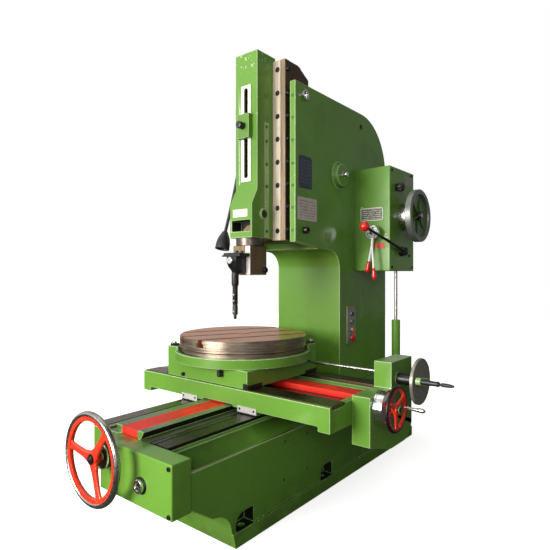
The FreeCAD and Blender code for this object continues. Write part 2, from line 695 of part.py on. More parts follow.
def slot_plates():
    """The bright plates round the slot, above and below the clamp block."""
    half = SLOT_PLATE_WIDTH / 2
    inner = SLOT_WIDTH / 2
    front = RAM_FRONT - SLOT_PLATE_THICK
    slot = box(-inner, inner, front - 1, RAM_FRONT + 1, SLOT_LOW, SLOT_HIGH)
    slot = round_edges(slot, inner - 0.5, lambda edge: edge_runs(edge, "y"))
    plates = []
    for low, high in ((SLOT_PLATE_LOW, BLOCK_LOW), (BLOCK_HIGH, SLOT_PLATE_HIGH)):
        plates.append(box(-half, half, front, RAM_FRONT, low, high).cut(slot))
    return plates


def clamp_block():
    """The block that locks the ram to its drive, across the slot."""
    half = BLOCK_WIDTH / 2
    inner = SLOT_WIDTH / 2 - 1
    block = box(-half, half, RAM_FRONT - BLOCK_THICK, RAM_FRONT, BLOCK_LOW, BLOCK_HIGH)
    tongue = box(-inner, inner, RAM_FRONT, RAM_FRONT + SLOT_DEPTH - 2, BLOCK_LOW + 8, BLOCK_HIGH - 8)
    return block.fuse(tongue).removeSplitter()


def clamp_knob():
    z = (BLOCK_LOW + BLOCK_HIGH) / 2
    face = RAM_FRONT - BLOCK_THICK
    return cylinder(BLOCK_KNOB_R, (0, face, z), (0, face - BLOCK_KNOB_LENGTH, z))


def tool_head():
    """Collar, clapper box, tool holder and cutting bar under the ram."""
    collar = cylinder(TOOL_COLLAR_R, (0, TOOL_COLLAR_Y, COLLAR_LOW), (0, TOOL_COLLAR_Y, RAM_LOW))
    save("tool_collar", collar)
    clapper = box(-CLAPPER_HALF, CLAPPER_HALF, CLAPPER_FRONT, CLAPPER_BACK, CLAPPER_LOW, COLLAR_LOW)
    bolt_y, bolt_z = CLAPPER_BACK - CLAPPER_BOLT_R, CLAPPER_LOW + CLAPPER_BOLT_LIFT
    bolt = cylinder(CLAPPER_BOLT_R, (CLAPPER_HALF, bolt_y, bolt_z), (CLAPPER_HALF + CLAPPER_BOLT_OUT, bolt_y, bolt_z))
    save("clapper_box", clapper.fuse(bolt).removeSplitter())
    back = CLAPPER_FRONT
    front = back - HOLDER_THICK
    holder = box(-HOLDER_HALF, HOLDER_HALF, front, back, HOLDER_LOW, HOLDER_HIGH)
    flange = box(-HOLDER_FLANGE_HALF, HOLDER_FLANGE_HALF, front, back, HOLDER_HIGH,
                 HOLDER_HIGH + HOLDER_FLANGE_HEIGHT)
    save("tool_holder", holder.fuse(flange).removeSplitter())
    y = back - TOOL_FORWARD
    body = cylinder(TOOL_BODY_R, (0, y, TOOL_BODY_LOW), (0, y, HOLDER_LOW))
    bar = cylinder(TOOL_BAR_R, (0, y, TOOL_BAR_LOW), (0, y, TOOL_BODY_LOW))
    tip = cylinder(TOOL_TIP_R, (0, y, TOOL_TIP_LOW), (0, y, TOOL_BAR_LOW))
    save("cutting_tool", body.fuse([bar, tip]).removeSplitter())


def lamp():
    """The work lamp on the left of the guide."""
    top, neck, end = [Vector(-GUIDE_HALF - LAMP_OUT, GUIDE_FRONT - forward, GUIDE_LOW + rise)
                      for forward, rise in zip(LAMP_FORWARD, LAMP_RISE)]
    bracket = box(-GUIDE_HALF - 22, -GUIDE_HALF, top.y - 16, top.y + 22, top.z - 22, top.z + 22)
    arm = cylinder(LAMP_ARM_R, top, neck)
    shade = cone(LAMP_SHADE_SMALL_R, LAMP_SHADE_LARGE_R, neck, end)
    return arm.fuse([shade, bracket]).removeSplitter()


def feed_gearbox():
    """The gearbox on the right of the column."""
    return soft_box(FEED_LEFT - 20, FEED_RIGHT, FEED_FRONT, FEED_FRONT + FEED_DEPTH, FEED_LOW,
                    FEED_HIGH, 6).cut(column_side())


def column_side():
    return box(-COLUMN_HALF, COLUMN_HALF, HEAD_FRONT, COLUMN_BACK, WAY_TOP, COLUMN_TOP)


def feed_drum():
    """The stepped drum behind the large wheel, with its fixed shaft."""
    x0 = FEED_RIGHT
    x1 = x0 + FEED_DRUM_LENGTH
    place = (FEED_WHEEL_Y, FEED_WHEEL_Z)
    drum = cylinder(FEED_DRUM_R, (x0, *place), (x1, *place))
    shaft = cylinder(SHAFT_RADIUS, (x1, *place), (x1 + FREE_GAP + FEED_WHEEL_WIDTH + 6, *place))
    return drum.fuse(shaft).removeSplitter()


def feed_wheel():
    """The large dished wheel that turns the drive by hand."""
    x0 = FEED_RIGHT + FEED_DRUM_LENGTH + FREE_GAP
    x1 = x0 + FEED_WHEEL_WIDTH
    place = (FEED_WHEEL_Y, FEED_WHEEL_Z)
    disc = cylinder(FEED_WHEEL_R, (x0, *place), (x1, *place))
    inner = FEED_WHEEL_R - FEED_WHEEL_RIM
    dish = cylinder(inner, (x1 - FEED_WHEEL_DISH, *place), (x1 + 1, *place))
    hub = cylinder(WHEEL_HUB_R, (x1 - FEED_WHEEL_DISH - 1, *place), (x1, *place))
    bore = cylinder(SHAFT_RADIUS + RUN_GAP, (x0 - 1, *place), (x1 + 1, *place))
    return disc.cut(dish).fuse(hub).cut(bore).removeSplitter()


def clutch_lever():
    """The long lever with a ball grip, on the right of the gearbox."""
    x = FEED_RIGHT + CLUTCH_OUT
    rise = math.radians(CLUTCH_RISE)
    end = (x, CLUTCH_Y - CLUTCH_LENGTH * math.cos(rise), CLUTCH_Z + CLUTCH_LENGTH * math.sin(rise))
    hub = cylinder(CLUTCH_HUB_R, (x - CLUTCH_HUB_HALF, CLUTCH_Y, CLUTCH_Z),
                   (x + CLUTCH_HUB_HALF, CLUTCH_Y, CLUTCH_Z))
    rod = cylinder(CLUTCH_ROD_R, (x, CLUTCH_Y, CLUTCH_Z), end)
    bore = cylinder(SHAFT_RADIUS + RUN_GAP, (x - 15, CLUTCH_Y, CLUTCH_Z), (x + 15, CLUTCH_Y, CLUTCH_Z))
    grip = ball(CLUTCH_BALL_R, end)
    return rod.fuse(hub).cut([bore, grip]).removeSplitter(), grip


def clutch_shaft():
    x0, x1 = FEED_RIGHT, FEED_RIGHT + CLUTCH_OUT + CLUTCH_HUB_HALF + 4
    shaft = cylinder(SHAFT_RADIUS, (x0, CLUTCH_Y, CLUTCH_Z), (x1, CLUTCH_Y, CLUTCH_Z))
    collar = cylinder(CLUTCH_HUB_R + 6, (x0, CLUTCH_Y, CLUTCH_Z), (x0 + CLUTCH_COLLAR, CLUTCH_Y, CLUTCH_Z))
    return shaft.fuse(collar).removeSplitter()


def gear_dial():
    """The round cap and the shaft that carries both short levers."""
    back = GEAR_DISC_Y + GEAR_DISC_THICK
    disc = cylinder(GEAR_DISC_R, (GEAR_X, GEAR_DISC_Y, GEAR_Z), (GEAR_X, back, GEAR_Z))
    shaft = cylinder(SHAFT_RADIUS, (GEAR_X, back, GEAR_Z), (GEAR_X, FEED_FRONT, GEAR_Z))
    return disc.fuse(shaft).removeSplitter()


def gear_lever(hub_y, grip_y, length, lean):
    """A hanging lever, cranked forward, and its grip."""
    tilt = math.radians(lean)

    def down(distance, y):
        return (GEAR_X + distance * math.sin(tilt), y, GEAR_Z - distance * math.cos(tilt))

    hub = cylinder(CLUTCH_HUB_R, (GEAR_X, hub_y - GEAR_HUB_HALF, GEAR_Z), (GEAR_X, hub_y + GEAR_HUB_HALF, GEAR_Z))
    bore = cylinder(SHAFT_RADIUS + RUN_GAP, (GEAR_X, hub_y - GEAR_HUB_HALF - 1, GEAR_Z),
                    (GEAR_X, hub_y + GEAR_HUB_HALF + 1, GEAR_Z))
    end = down(length, grip_y)
    rod = cylinder(GEAR_LEVER_R, (GEAR_X, hub_y, GEAR_Z), end)
    grip = cylinder(GEAR_GRIP_R, end, down(length + GEAR_GRIP_LENGTH, grip_y))
    return rod.fuse(hub).cut([bore, grip]).removeSplitter(), grip


def selector_knob():
    x0, x1 = FEED_RIGHT, FEED_RIGHT + SELECTOR_LENGTH
    return cylinder(SELECTOR_R, (x0, SELECTOR_Y, SELECTOR_Z), (x1, SELECTOR_Y, SELECTOR_Z))


def feed_shaft():
    """The shaft from the feed gearbox down to the bed, and its round cover."""
    top = (FEED_SHAFT_X, FEED_SHAFT_Y, FEED_LOW)
    neck = (FEED_SHAFT_X, FEED_SHAFT_Y, SHAFT_COVER_TOP)
    foot = (FEED_SHAFT_X, FEED_SHAFT_Y, WAY_TOP)
    return cylinder(FEED_SHAFT_R, top, neck), cylinder(SHAFT_COVER_R, neck, foot)


def saddle():
    """The saddle across the bed, with its apron, end feet, cross channel and the gap over the ribs."""
    front, back = SADDLE_FRONT, SADDLE_BACK
    body = box(SADDLE_LEFT, SADDLE_RIGHT, front, back, APRON_LOW, SADDLE_TOP)
    foot = SADDLE_FOOT_WIDTH
    feet = [box(SADDLE_LEFT, SADDLE_LEFT + foot, front, back, WAY_TOP, APRON_LOW),
            box(SADDLE_RIGHT - foot, SADDLE_RIGHT, front, back, WAY_TOP, APRON_LOW)]
    pad = box(WAY_INNER, WAY_OUTER, front, back, WAY_TOP + SLIDE_GAP, APRON_LOW)
    body = body.fuse(feet + [pad, mirrored(pad)]).removeSplitter()
    way_in = front + CROSS_WAY_INSET + CROSS_WAY_WIDTH
    trench = box(SADDLE_LEFT + foot, SADDLE_RIGHT - 30, way_in, back - CROSS_WAY_INSET - CROSS_WAY_WIDTH,
                 CROSS_DECK, SADDLE_TOP + 1)
    seat = SADDLE_TOP + 2 - CROSS_WAY_PLATE
    seats = [box(SADDLE_LEFT - 1, SADDLE_RIGHT + 1, front + CROSS_WAY_INSET, way_in, seat, SADDLE_TOP + 1),
             box(SADDLE_LEFT - 1, SADDLE_RIGHT + 1, back - CROSS_WAY_INSET - CROSS_WAY_WIDTH,
                 back - CROSS_WAY_INSET, seat, SADDLE_TOP + 1)]
    over_ribs = RIB_OUT + SADDLE_OVER_RIBS
    channel = box(-over_ribs, over_ribs, front - 1, back + 1, APRON_LOW - 1, RIB_TOP + SADDLE_OVER_RIBS)
    return body.cut([trench, channel] + seats)


def cross_ways():
    """The two guide strips on which the carriage slides."""
    low = CROSS_WAY_TOP - CROSS_WAY_PLATE
    front = SADDLE_FRONT + CROSS_WAY_INSET
    back = SADDLE_BACK - CROSS_WAY_INSET
    return (box(SADDLE_LEFT, SADDLE_RIGHT, front, front + CROSS_WAY_WIDTH, low, CROSS_WAY_TOP),
            box(SADDLE_LEFT, SADDLE_RIGHT, back - CROSS_WAY_WIDTH, back, low, CROSS_WAY_TOP))


def cross_cover():
    """The red cover over the cross screw, on its rib."""
    half = CROSS_COVER_WIDTH / 2
    return box(SADDLE_LEFT + SADDLE_FOOT_WIDTH, SADDLE_RIGHT - 30, CROSS_COVER_Y - half, CROSS_COVER_Y + half,
               CROSS_DECK, CROSS_COVER_TOP)


def wiper():
    """The right-hand plate that wipes the long way in front of the saddle."""
    half = WIPER_WIDTH / 2
    low = WAY_TOP + 2 * SLIDE_GAP
    return box(WAY_CENTRE - half, WAY_CENTRE + half, SADDLE_FRONT - WIPER_THICK, SADDLE_FRONT,
               low, APRON_LOW + WIPER_HEIGHT)


def carriage():
    """The square carriage, two ears on opposite corners and the round seat of the table."""
    left, right = CARRIAGE_LEFT, CARRIAGE_RIGHT
    front, back = CARRIAGE_FRONT, CARRIAGE_BACK
    block = box(left, right, front, back, CARRIAGE_LOW, CARRIAGE_TOP)
    seat = cylinder(RING_BORE, (TABLE_X, TABLE_Y, CARRIAGE_TOP), (TABLE_X, TABLE_Y, RING_FLOOR))
    ears = []
    for x, y in ((left, front), (right - EAR_SIZE, back - EAR_SIZE)):
        ears.append(box(x, x + EAR_SIZE, y, y + EAR_SIZE, CARRIAGE_TOP, EAR_TOP))
    well = cylinder(RING_BORE, (TABLE_X, TABLE_Y, RING_FLOOR), (TABLE_X, TABLE_Y, EAR_TOP + 1))
    bore = cylinder(TABLE_SHAFT_R + TABLE_SHAFT_GAP, (left - 1, TABLE_SHAFT_Y, TABLE_SHAFT_Z),
                    (right + 1, TABLE_SHAFT_Y, TABLE_SHAFT_Z))
    return block.fuse([seat] + ears).removeSplitter().cut([well, bore])


def table_seat():
    """The ring round the table's foot, which overhangs the carriage."""
    centre = (TABLE_X, TABLE_Y)
    ring = cylinder(RING_RADIUS, (*centre, CARRIAGE_TOP), (*centre, RING_HIGH))
    bore = cylinder(RING_BORE, (*centre, CARRIAGE_TOP - 1), (*centre, RING_HIGH + 1))
    return ring.cut([bore, carriage()])


def table_clamps():
    """The clamp bolts on the two ears."""
    inset = EAR_SIZE * 0.3
    places = ((CARRIAGE_LEFT + inset, CARRIAGE_FRONT + inset), (CARRIAGE_RIGHT - inset, CARRIAGE_BACK - inset))
    return [cylinder(CLAMP_R, (x, y, EAR_TOP), (x, y, EAR_TOP + CLAMP_HEIGHT)) for x, y in places]


def rotary_table():
    """The round table with T-slots and a centre bore."""
    low, top = RING_FLOOR + SLIDE_GAP, TABLE_TOP
    disc = cylinder(TABLE_RADIUS, (0, 0, TABLE_RIM_LOW), (0, 0, top))
    foot = cylinder(TABLE_FOOT_R, (0, 0, low), (0, 0, TABLE_RIM_LOW))
    reach = TABLE_RADIUS + 5
    cuts = [cylinder(TABLE_BORE_R, (0, 0, top - TSLOT_DEPTH), (0, 0, top + 1))]
    for n in (-1, 0, 1):
        y = n * TSLOT_PITCH
        neck, head = TSLOT_WIDTH / 2, TSLOT_HEAD / 2
        cuts.append(box(-reach, reach, y - neck, y + neck, top - TSLOT_DEPTH, top + 1))
        cuts.append(box(-reach, reach, y - head, y + head, top - TSLOT_DEPTH, top - TSLOT_NECK_DEPTH))
    table = disc.fuse(foot).removeSplitter().cut(cuts)
    table.rotate(Vector(0, 0, 0), Vector(0, 0, 1), TSLOT_ANGLE)
    table.translate(Vector(TABLE_X, TABLE_Y, 0))
    return table


def cross_feed_box():
    """The stepped box on the right end of the saddle."""
    x0, x1 = SADDLE_RIGHT, CROSS_BOX_RIGHT
    front, back, step = CROSS_BOX_FRONT, CROSS_BOX_BACK, CROSS_BOX_STEP
    outline = [(front, CROSS_BOX_LOW), (step, CROSS_BOX_REAR_LOW), (back, CROSS_BOX_REAR_LOW),
               (back, CROSS_BOX_TALL), (step, CROSS_BOX_TALL), (step, CROSS_BOX_HIGH),
               (front, CROSS_BOX_HIGH)]
    shell = across(outline, x0, x1)

    def is_low_back(edge):
        centre = edge.CenterOfMass
        return edge_runs(edge, "x") and centre.y > back - 1 and centre.z < CROSS_BOX_LOW

    shell = round_edges(shell, CROSS_BOX_ROUND, is_low_back)
    wheel = cylinder(SHAFT_RADIUS, (x1, CROSS_WHEEL_Y, CROSS_WHEEL_Z),
                     (x1 + CROSS_WHEEL_OUT + 16, CROSS_WHEEL_Y, CROSS_WHEEL_Z))
    index = cylinder(SHAFT_RADIUS, (x1, INDEX_Y, INDEX_Z),
                     (x1 + INDEX_OUT + INDEX_THICK + CRANK_THICK + 12, INDEX_Y, INDEX_Z))
    disc_back = x1 + INDEX_OUT
    boss = cylinder(INDEX_BOSS_R, (x1, INDEX_Y, INDEX_Z), (disc_back, INDEX_Y, INDEX_Z))
    flange = cylinder(INDEX_FLANGE_R, (disc_back - INDEX_FLANGE_THICK, INDEX_Y, INDEX_Z),
                      (disc_back, INDEX_Y, INDEX_Z))
    return shell.fuse([wheel, index, boss, flange]).removeSplitter()


def cross_dial():
    """The bright graduated collar behind the cross handwheel."""
    x0, x1 = CROSS_BOX_RIGHT, CROSS_BOX_RIGHT + CROSS_DIAL_LENGTH
    place = (CROSS_WHEEL_Y, CROSS_WHEEL_Z)
    collar = cylinder(CROSS_DIAL_R, (x0, *place), (x1, *place))
    return collar.cut(cylinder(SHAFT_RADIUS, (x0 - 1, *place), (x1 + 1, *place)))


def cross_handwheel():
    """The cross feed handwheel and its turning handle."""
    wheel = spoked_wheel(CROSS_WHEEL_R, CROSS_WHEEL_RIM_R, CROSS_HUB_R, CROSS_HUB_LENGTH, SHAFT_RADIUS + RUN_GAP,
                         CROSS_SPOKE_WIDTH, CROSS_SPOKE_THICK, 3, 0)
    wheel.rotate(Vector(0, 0, 0), Vector(0, 1, 0), 90)
    x = CROSS_BOX_RIGHT + CROSS_WHEEL_OUT
    wheel.translate(Vector(x, CROSS_WHEEL_Y, CROSS_WHEEL_Z))
    drop = math.radians(CROSS_HANDLE_DROP)
    y = CROSS_WHEEL_Y + CROSS_HANDLE_REACH * math.cos(drop)
    z = CROSS_WHEEL_Z - CROSS_HANDLE_REACH * math.sin(drop)
    handle = cylinder(CROSS_HANDLE_R, (x, y, z), (x + CROSS_HANDLE_LENGTH, y, z))
    return wheel, handle.cut(wheel)


def index_plate():
    """The index disc on the table drive."""
    x0 = CROSS_BOX_RIGHT + INDEX_OUT
    disc = cylinder(INDEX_R, (x0, INDEX_Y, INDEX_Z), (x0 + INDEX_THICK, INDEX_Y, INDEX_Z))
    return disc.cut(cylinder(SHAFT_RADIUS, (x0 - 1, INDEX_Y, INDEX_Z), (x0 + INDEX_THICK + 1, INDEX_Y, INDEX_Z)))


def index_crank():
    """The crank arm and handle that turn the table by hand."""
    x0 = CROSS_BOX_RIGHT + INDEX_OUT + INDEX_THICK + FREE_GAP
    x1 = x0 + CRANK_THICK
    half = CRANK_WIDTH / 2
    arm = box(x0, x1, INDEX_Y - CRANK_LENGTH - CRANK_END, INDEX_Y + half, INDEX_Z - half, INDEX_Z + half)
    arm = arm.cut(cylinder(SHAFT_RADIUS + RUN_GAP, (x0 - 1, INDEX_Y, INDEX_Z), (x1 + 1, INDEX_Y, INDEX_Z)))
    y = INDEX_Y - CRANK_LENGTH
    step, end = x1 + CRANK_GRIP_LENGTH, x1 + CRANK_GRIP_LENGTH + CRANK_END_LENGTH
    grip = cylinder(CRANK_GRIP_R, (x1, y, INDEX_Z), (step, y, INDEX_Z))
    grip = grip.fuse(cylinder(CRANK_END_R, (step, y, INDEX_Z), (end, y, INDEX_Z))).removeSplitter()
    for piece in (arm, grip):
        piece.rotate(Vector(0, INDEX_Y, INDEX_Z), Vector(1, 0, 0), -CRANK_ANGLE)
    return arm, grip


def table_shaft():
    """The bright shaft on which the carriage slides, from the cross feed box."""
    return cylinder(TABLE_SHAFT_R, (TABLE_SHAFT_LEFT, TABLE_SHAFT_Y, TABLE_SHAFT_Z),
                    (SADDLE_RIGHT, TABLE_SHAFT_Y, TABLE_SHAFT_Z))


def build():
    save("bed", bed())
    save("bed_ways", *bed_ways())
    save("bed_screw_cover", bed_cover())
    save("front_gearbox", front_gearbox())
    save("crank_socket", socket())
    save("bed_handwheel", bed_handwheel())
    save("column", column())
    side_fittings()
    save("ram_guide", ram_guide())
    strip = guide_strip()
    save("guide_strips", mirrored(strip), strip)
    save("ram", ram())
    save("ram_slot_plates", *slot_plates())
    save("ram_clamp_block", clamp_block())
    save("ram_clamp_knob", clamp_knob())
    tool_head()
    save("work_lamp", lamp())
    save("feed_gearbox", feed_gearbox())
    save("feed_drum", feed_drum())
    save("feed_wheel", feed_wheel())
    save("selector_knob", selector_knob())
    lever, grip = clutch_lever()
    save("clutch_lever", lever)
    save("clutch_ball", grip)
    save("clutch_shaft", clutch_shaft())
    save("gear_dial", gear_dial())
    for name, sizes in (("inner", INNER_LEVER), ("outer", OUTER_LEVER)):
        rod, handle = gear_lever(**sizes)
        save(f"gear_lever_{name}", rod)
        save(f"gear_grip_{name}", handle)
    shaft, cover = feed_shaft()
    save("feed_shaft", shaft)
    save("feed_shaft_cover", cover)
    save("saddle", saddle())
    save("cross_ways", *cross_ways())
    save("cross_screw_cover", cross_cover())
    right_wiper = wiper()
    save("way_wipers", mirrored(right_wiper), right_wiper)
    save("carriage", carriage())
    save("table_seat", table_seat())
    save("table_clamps", *table_clamps())
    save("rotary_table", rotary_table())
    save("table_shaft", table_shaft())
    save("cross_feed_box", cross_feed_box())
    save("cross_dial", cross_dial())
    wheel, handle = cross_handwheel()
    save("cross_handwheel", wheel)
    save("cross_handle", handle)
    save("index_plate", index_plate())
    arm, handle = index_crank()
    save("index_crank", arm)
    save("index_handle", handle)


build()
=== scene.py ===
import math

import bmesh
import bpy
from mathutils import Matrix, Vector


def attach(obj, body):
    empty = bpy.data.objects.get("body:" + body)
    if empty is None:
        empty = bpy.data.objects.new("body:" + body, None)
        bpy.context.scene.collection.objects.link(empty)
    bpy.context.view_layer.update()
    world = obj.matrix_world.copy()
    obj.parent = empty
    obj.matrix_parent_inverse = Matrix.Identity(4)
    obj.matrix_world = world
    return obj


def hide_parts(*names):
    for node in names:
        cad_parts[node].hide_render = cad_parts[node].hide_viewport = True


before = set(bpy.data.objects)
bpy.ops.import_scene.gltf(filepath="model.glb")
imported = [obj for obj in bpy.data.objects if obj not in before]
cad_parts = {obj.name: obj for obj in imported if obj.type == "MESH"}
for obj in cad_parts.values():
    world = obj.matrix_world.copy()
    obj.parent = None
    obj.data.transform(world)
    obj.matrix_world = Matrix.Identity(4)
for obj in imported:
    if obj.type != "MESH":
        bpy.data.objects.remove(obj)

# A vertical slotting machine. Lengths here are millimetres, in the axes of the CAD source:
# X runs across the machine, Y from its front to its back, and Z up from the floor.
# Each piece is turned into metres when it is made.

MM = 0.001
X, Y, Z = Vector((1, 0, 0)), Vector((0, 1, 0)), Vector((0, 0, 1))
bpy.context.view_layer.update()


class Link:
    """A node's output, so that shader maths reads as Python."""

    def __init__(self, nodes, socket):
        self.nodes = nodes
        self.socket = socket

    def maths(self, operation, *values):
        return self.nodes.node("ShaderNodeMath", {"operation": operation}, dict(enumerate(values)))

    def __add__(self, other):
        return self.maths("ADD", self, other)

    def __sub__(self, other):
        return self.maths("SUBTRACT", self, other)

    def __rsub__(self, other):
        return self.maths("SUBTRACT", other, self)

    def __mul__(self, other):
        return self.maths("MULTIPLY", self, other)

    def __pow__(self, other):
        return self.maths("POWER", self, other)

    def __gt__(self, other):
        return self.maths("GREATER_THAN", self, other)

    def __lt__(self, other):
        return self.maths("LESS_THAN", self, other)

    __radd__ = __add__
    __rmul__ = __mul__

    def rise(self, low, high):
        """0 at low and 1 at high, with a soft step between; low may be the larger."""
        return self.nodes.node("ShaderNodeMapRange", {"interpolation_type": "SMOOTHSTEP"},
                               {0: self, 1: low, 2: high})


class Nodes:
    """Adds nodes to a tree, all through one method."""

    def __init__(self, tree):
        self.tree = tree

    def node(self, kind, settings=None, inputs=None, output=0):
        made = self.tree.nodes.new(kind)
        for key, value in (settings or {}).items():
            setattr(made, key, value)
        for key, value in (inputs or {}).items():
            self.feed(made.inputs[key], value)
        return Link(self, made.outputs[output])

    def feed(self, socket, value):
        if isinstance(value, Link):
            self.tree.links.new(value.socket, socket)
        else:
            socket.default_value = value

    def axes(self, vector):
        """The three parts of a vector."""
        split = self.node("ShaderNodeSeparateXYZ", {}, {0: vector}).socket.node
        return [Link(self, output) for output in split.outputs]

    def mix(self, factor, first, second, way="MIX"):
        return self.node("ShaderNodeMix", {"data_type": "RGBA", "blend_type": way},
                         {0: factor, 6: first, 7: second}, 2)


class Finish(Nodes):
    """A material: its shader, the place on the surface, and what feeds the shader."""

    def __init__(self, name, **fixed):
        self.material = bpy.data.materials.new(name)
        self.material.use_nodes = True
        super().__init__(self.material.node_tree)
        self.shader = self.tree.nodes["Principled BSDF"]
        for key, value in fixed.items():
            self.shader.inputs[key.replace("_", " ")].default_value = value
        self.place = self.node("ShaderNodeTexCoord", {}, {}, "Object")
        self.x, self.y, self.z = self.axes(self.place)

    def noise(self, scale, detail=2.0, stretch=(1, 1, 1), roughness=0.5):
        where = self.place
        if stretch != (1, 1, 1):
            where = self.node("ShaderNodeMapping", {}, {"Vector": where, "Scale": stretch})
        return self.node("ShaderNodeTexNoise", {}, {"Vector": where, "Scale": scale, "Detail": detail,
                                                    "Roughness": roughness})

    def reach(self, x=None, y=None, z=None):
        """The distance in metres from a point, or from an axis where one part is left out."""
        total = 0.0
        for part, centre in ((self.x, x), (self.y, y), (self.z, z)):
            if centre is not None:
                total = total + (part - centre * MM) * (part - centre * MM)
        return total ** 0.5

    def set(self, colour=None, roughness=None, metallic=None, coat=None, height=None, depth=0.001,
            strength=1.0):
        for key, value in (("Base Color", colour), ("Roughness", roughness), ("Metallic", metallic),
                           ("Coat Weight", coat)):
            if value is not None:
                self.feed(self.shader.inputs[key], value)
        if height is not None:
            bump = self.node("ShaderNodeBump", {}, {"Height": height, "Distance": depth,
                                                    "Strength": strength})
            self.feed(self.shader.inputs["Normal"], bump)
        return self.material


def rgb(red, green, blue):
    """A colour as it looks on a screen, from 0 to 255, turned into the shader's own scale."""
    def part(value):
        value /= 255
        return value / 12.92 if value <= 0.04045 else ((value + 0.055) / 1.055) ** 2.4
    return (part(red), part(green), part(blue), 1.0)


def shade(colour, factor):
    return tuple(min(1.0, part * factor) for part in colour[:3]) + (1.0,)


GREEN = rgb(97, 143, 50)
RED = rgb(226, 52, 24)
PRIMER_AND_HIGHLIGHT_TINT = rgb(214, 226, 190)


def enamel(name, green=GREEN, worn=0.0, runs=0.0, chipped_from=None, oily=0.0, gloss=0.3):
    """Glossy machine enamel over filler: slow changes of tone, faint waves, dirt, runs of oil."""
    paint = Finish(name, Specular_IOR_Level=0.36, Coat_Roughness=0.06, Coat_Weight=0.22)
    broad = paint.noise(1.7, 2.0)
    patches = paint.noise(7.0, 4.0, roughness=0.6)
    dust = paint.noise(420.0, 2.0)
    colour = paint.mix(broad.rise(0.3, 0.7), shade(green, 0.84), shade(green, 1.14))
    colour = paint.mix(patches.rise(0.5, 0.72) * 0.3, colour, shade(green, 0.62))
    floor_dirt = paint.z.rise(0.16, 0.0) * patches.rise(0.35, 0.6)
    colour = paint.mix(floor_dirt * 0.45, colour, rgb(64, 66, 42))
    specks = dust.rise(0.7, 0.78) * paint.noise(11.0).rise(0.45, 0.6)
    colour = paint.mix(specks * 0.4, colour, rgb(46, 60, 26))
    if oily:
        colour = paint.mix(paint.noise(5.0, 5.0).rise(0.3, 0.7) * oily, colour, rgb(22, 26, 12))
    if runs:
        drips = paint.noise(16.0, 4.0, stretch=(1, 1, 0.1), roughness=0.55).rise(0.46, 0.62)
        high = paint.z.rise(0.2, 0.4) * paint.x.rise(0.24, 0.05)
        colour = paint.mix(drips * high * runs, colour, rgb(52, 64, 26))
    # Worn: flakes of primer, and the colour paled a little towards primer above the floor; on the edge finish
    # this pale tone is thin paint and a painted highlight.
    if worn:
        flakes = paint.noise(150.0, 3.0, roughness=0.7).rise(0.6, 0.64)
        where = paint.noise(13.0, 3.0).rise(0.6 - 0.14 * worn, 0.66 - 0.14 * worn)
        pale = paint.mix(paint.z.rise(0.1, 0.25) * 0.3, colour, PRIMER_AND_HIGHLIGHT_TINT)
        colour = paint.mix(flakes * where, pale, rgb(226, 232, 208))
    if chipped_from is not None:
        top = paint.z.rise(chipped_from * MM, (chipped_from + 40) * MM)
        flakes = paint.noise(95.0, 4.0, roughness=0.65).rise(0.615, 0.635)
        colour = paint.mix(flakes * top * paint.noise(30.0).rise(0.5, 0.56), colour, rgb(232, 240, 206))
    rough = gloss + patches.rise(0.4, 0.8) * 0.14 - broad.rise(0.4, 0.7) * 0.05
    waves = paint.noise(9.0, 1.0) * 0.9 + paint.noise(230.0, 2.0) * 0.035
    return paint.set(colour, rough, height=waves, depth=0.0011, strength=0.55)


def steel(name, colour, rough=0.28, lines=None, stain=0.3, stain_colour=rgb(70, 54, 40), metal=1.0,
          along=(1, 1, 1), spun=None):
    """Machined steel: tool lines one way or round a centre, oil film and small stains."""
    metal_piece = Finish(name, Specular_IOR_Level=0.5)
    tone = metal_piece.noise(6.0, 4.0, stretch=along, roughness=0.6)
    fine = metal_piece.noise(lines or 60.0, 3.0, stretch=along, roughness=0.7)
    if spun:
        rings = metal_piece.reach(**spun)
        fine = metal_piece.node("ShaderNodeTexNoise", {"noise_dimensions": "1D"},
                                {"W": rings, "Scale": 420.0, "Detail": 3.0}) * 0.8 + fine * 0.2
    base = metal_piece.mix(fine.rise(0.3, 0.7), shade(colour, 0.8), shade(colour, 1.12))
    blots = metal_piece.noise(19.0, 5.0, roughness=0.65).rise(0.5, 0.7)
    base = metal_piece.mix(blots * stain, base, stain_colour)
    base = metal_piece.mix(tone.rise(0.45, 0.75) * stain * 0.7, base, stain_colour)
    roughness = rough + fine.rise(0.3, 0.7) * 0.12 + blots * 0.12
    metallic = metal - blots * stain * 0.5
    return metal_piece.set(base, roughness, metallic, height=fine, depth=0.0002, strength=0.5)


def black_finish(name, colour=rgb(22, 22, 21), rough=0.36, metal=0.0, coat=0.2):
    """Blackened steel or moulded black plastic, with a dusty bloom and fine scuffs."""
    black = Finish(name, Specular_IOR_Level=0.5, Coat_Weight=coat, Coat_Roughness=0.2, Metallic=metal)
    bloom = black.noise(24.0, 4.0, roughness=0.6)
    scuffs = black.noise(240.0, 2.0)
    tone = black.mix(bloom.rise(0.4, 0.75) * 0.5, colour, shade(colour, 2.6))
    tone = black.mix(scuffs.rise(0.68, 0.74) * 0.3, tone, rgb(110, 106, 98))
    return black.set(tone, rough + bloom.rise(0.4, 0.7) * 0.16, height=scuffs, depth=0.0002, strength=0.4)


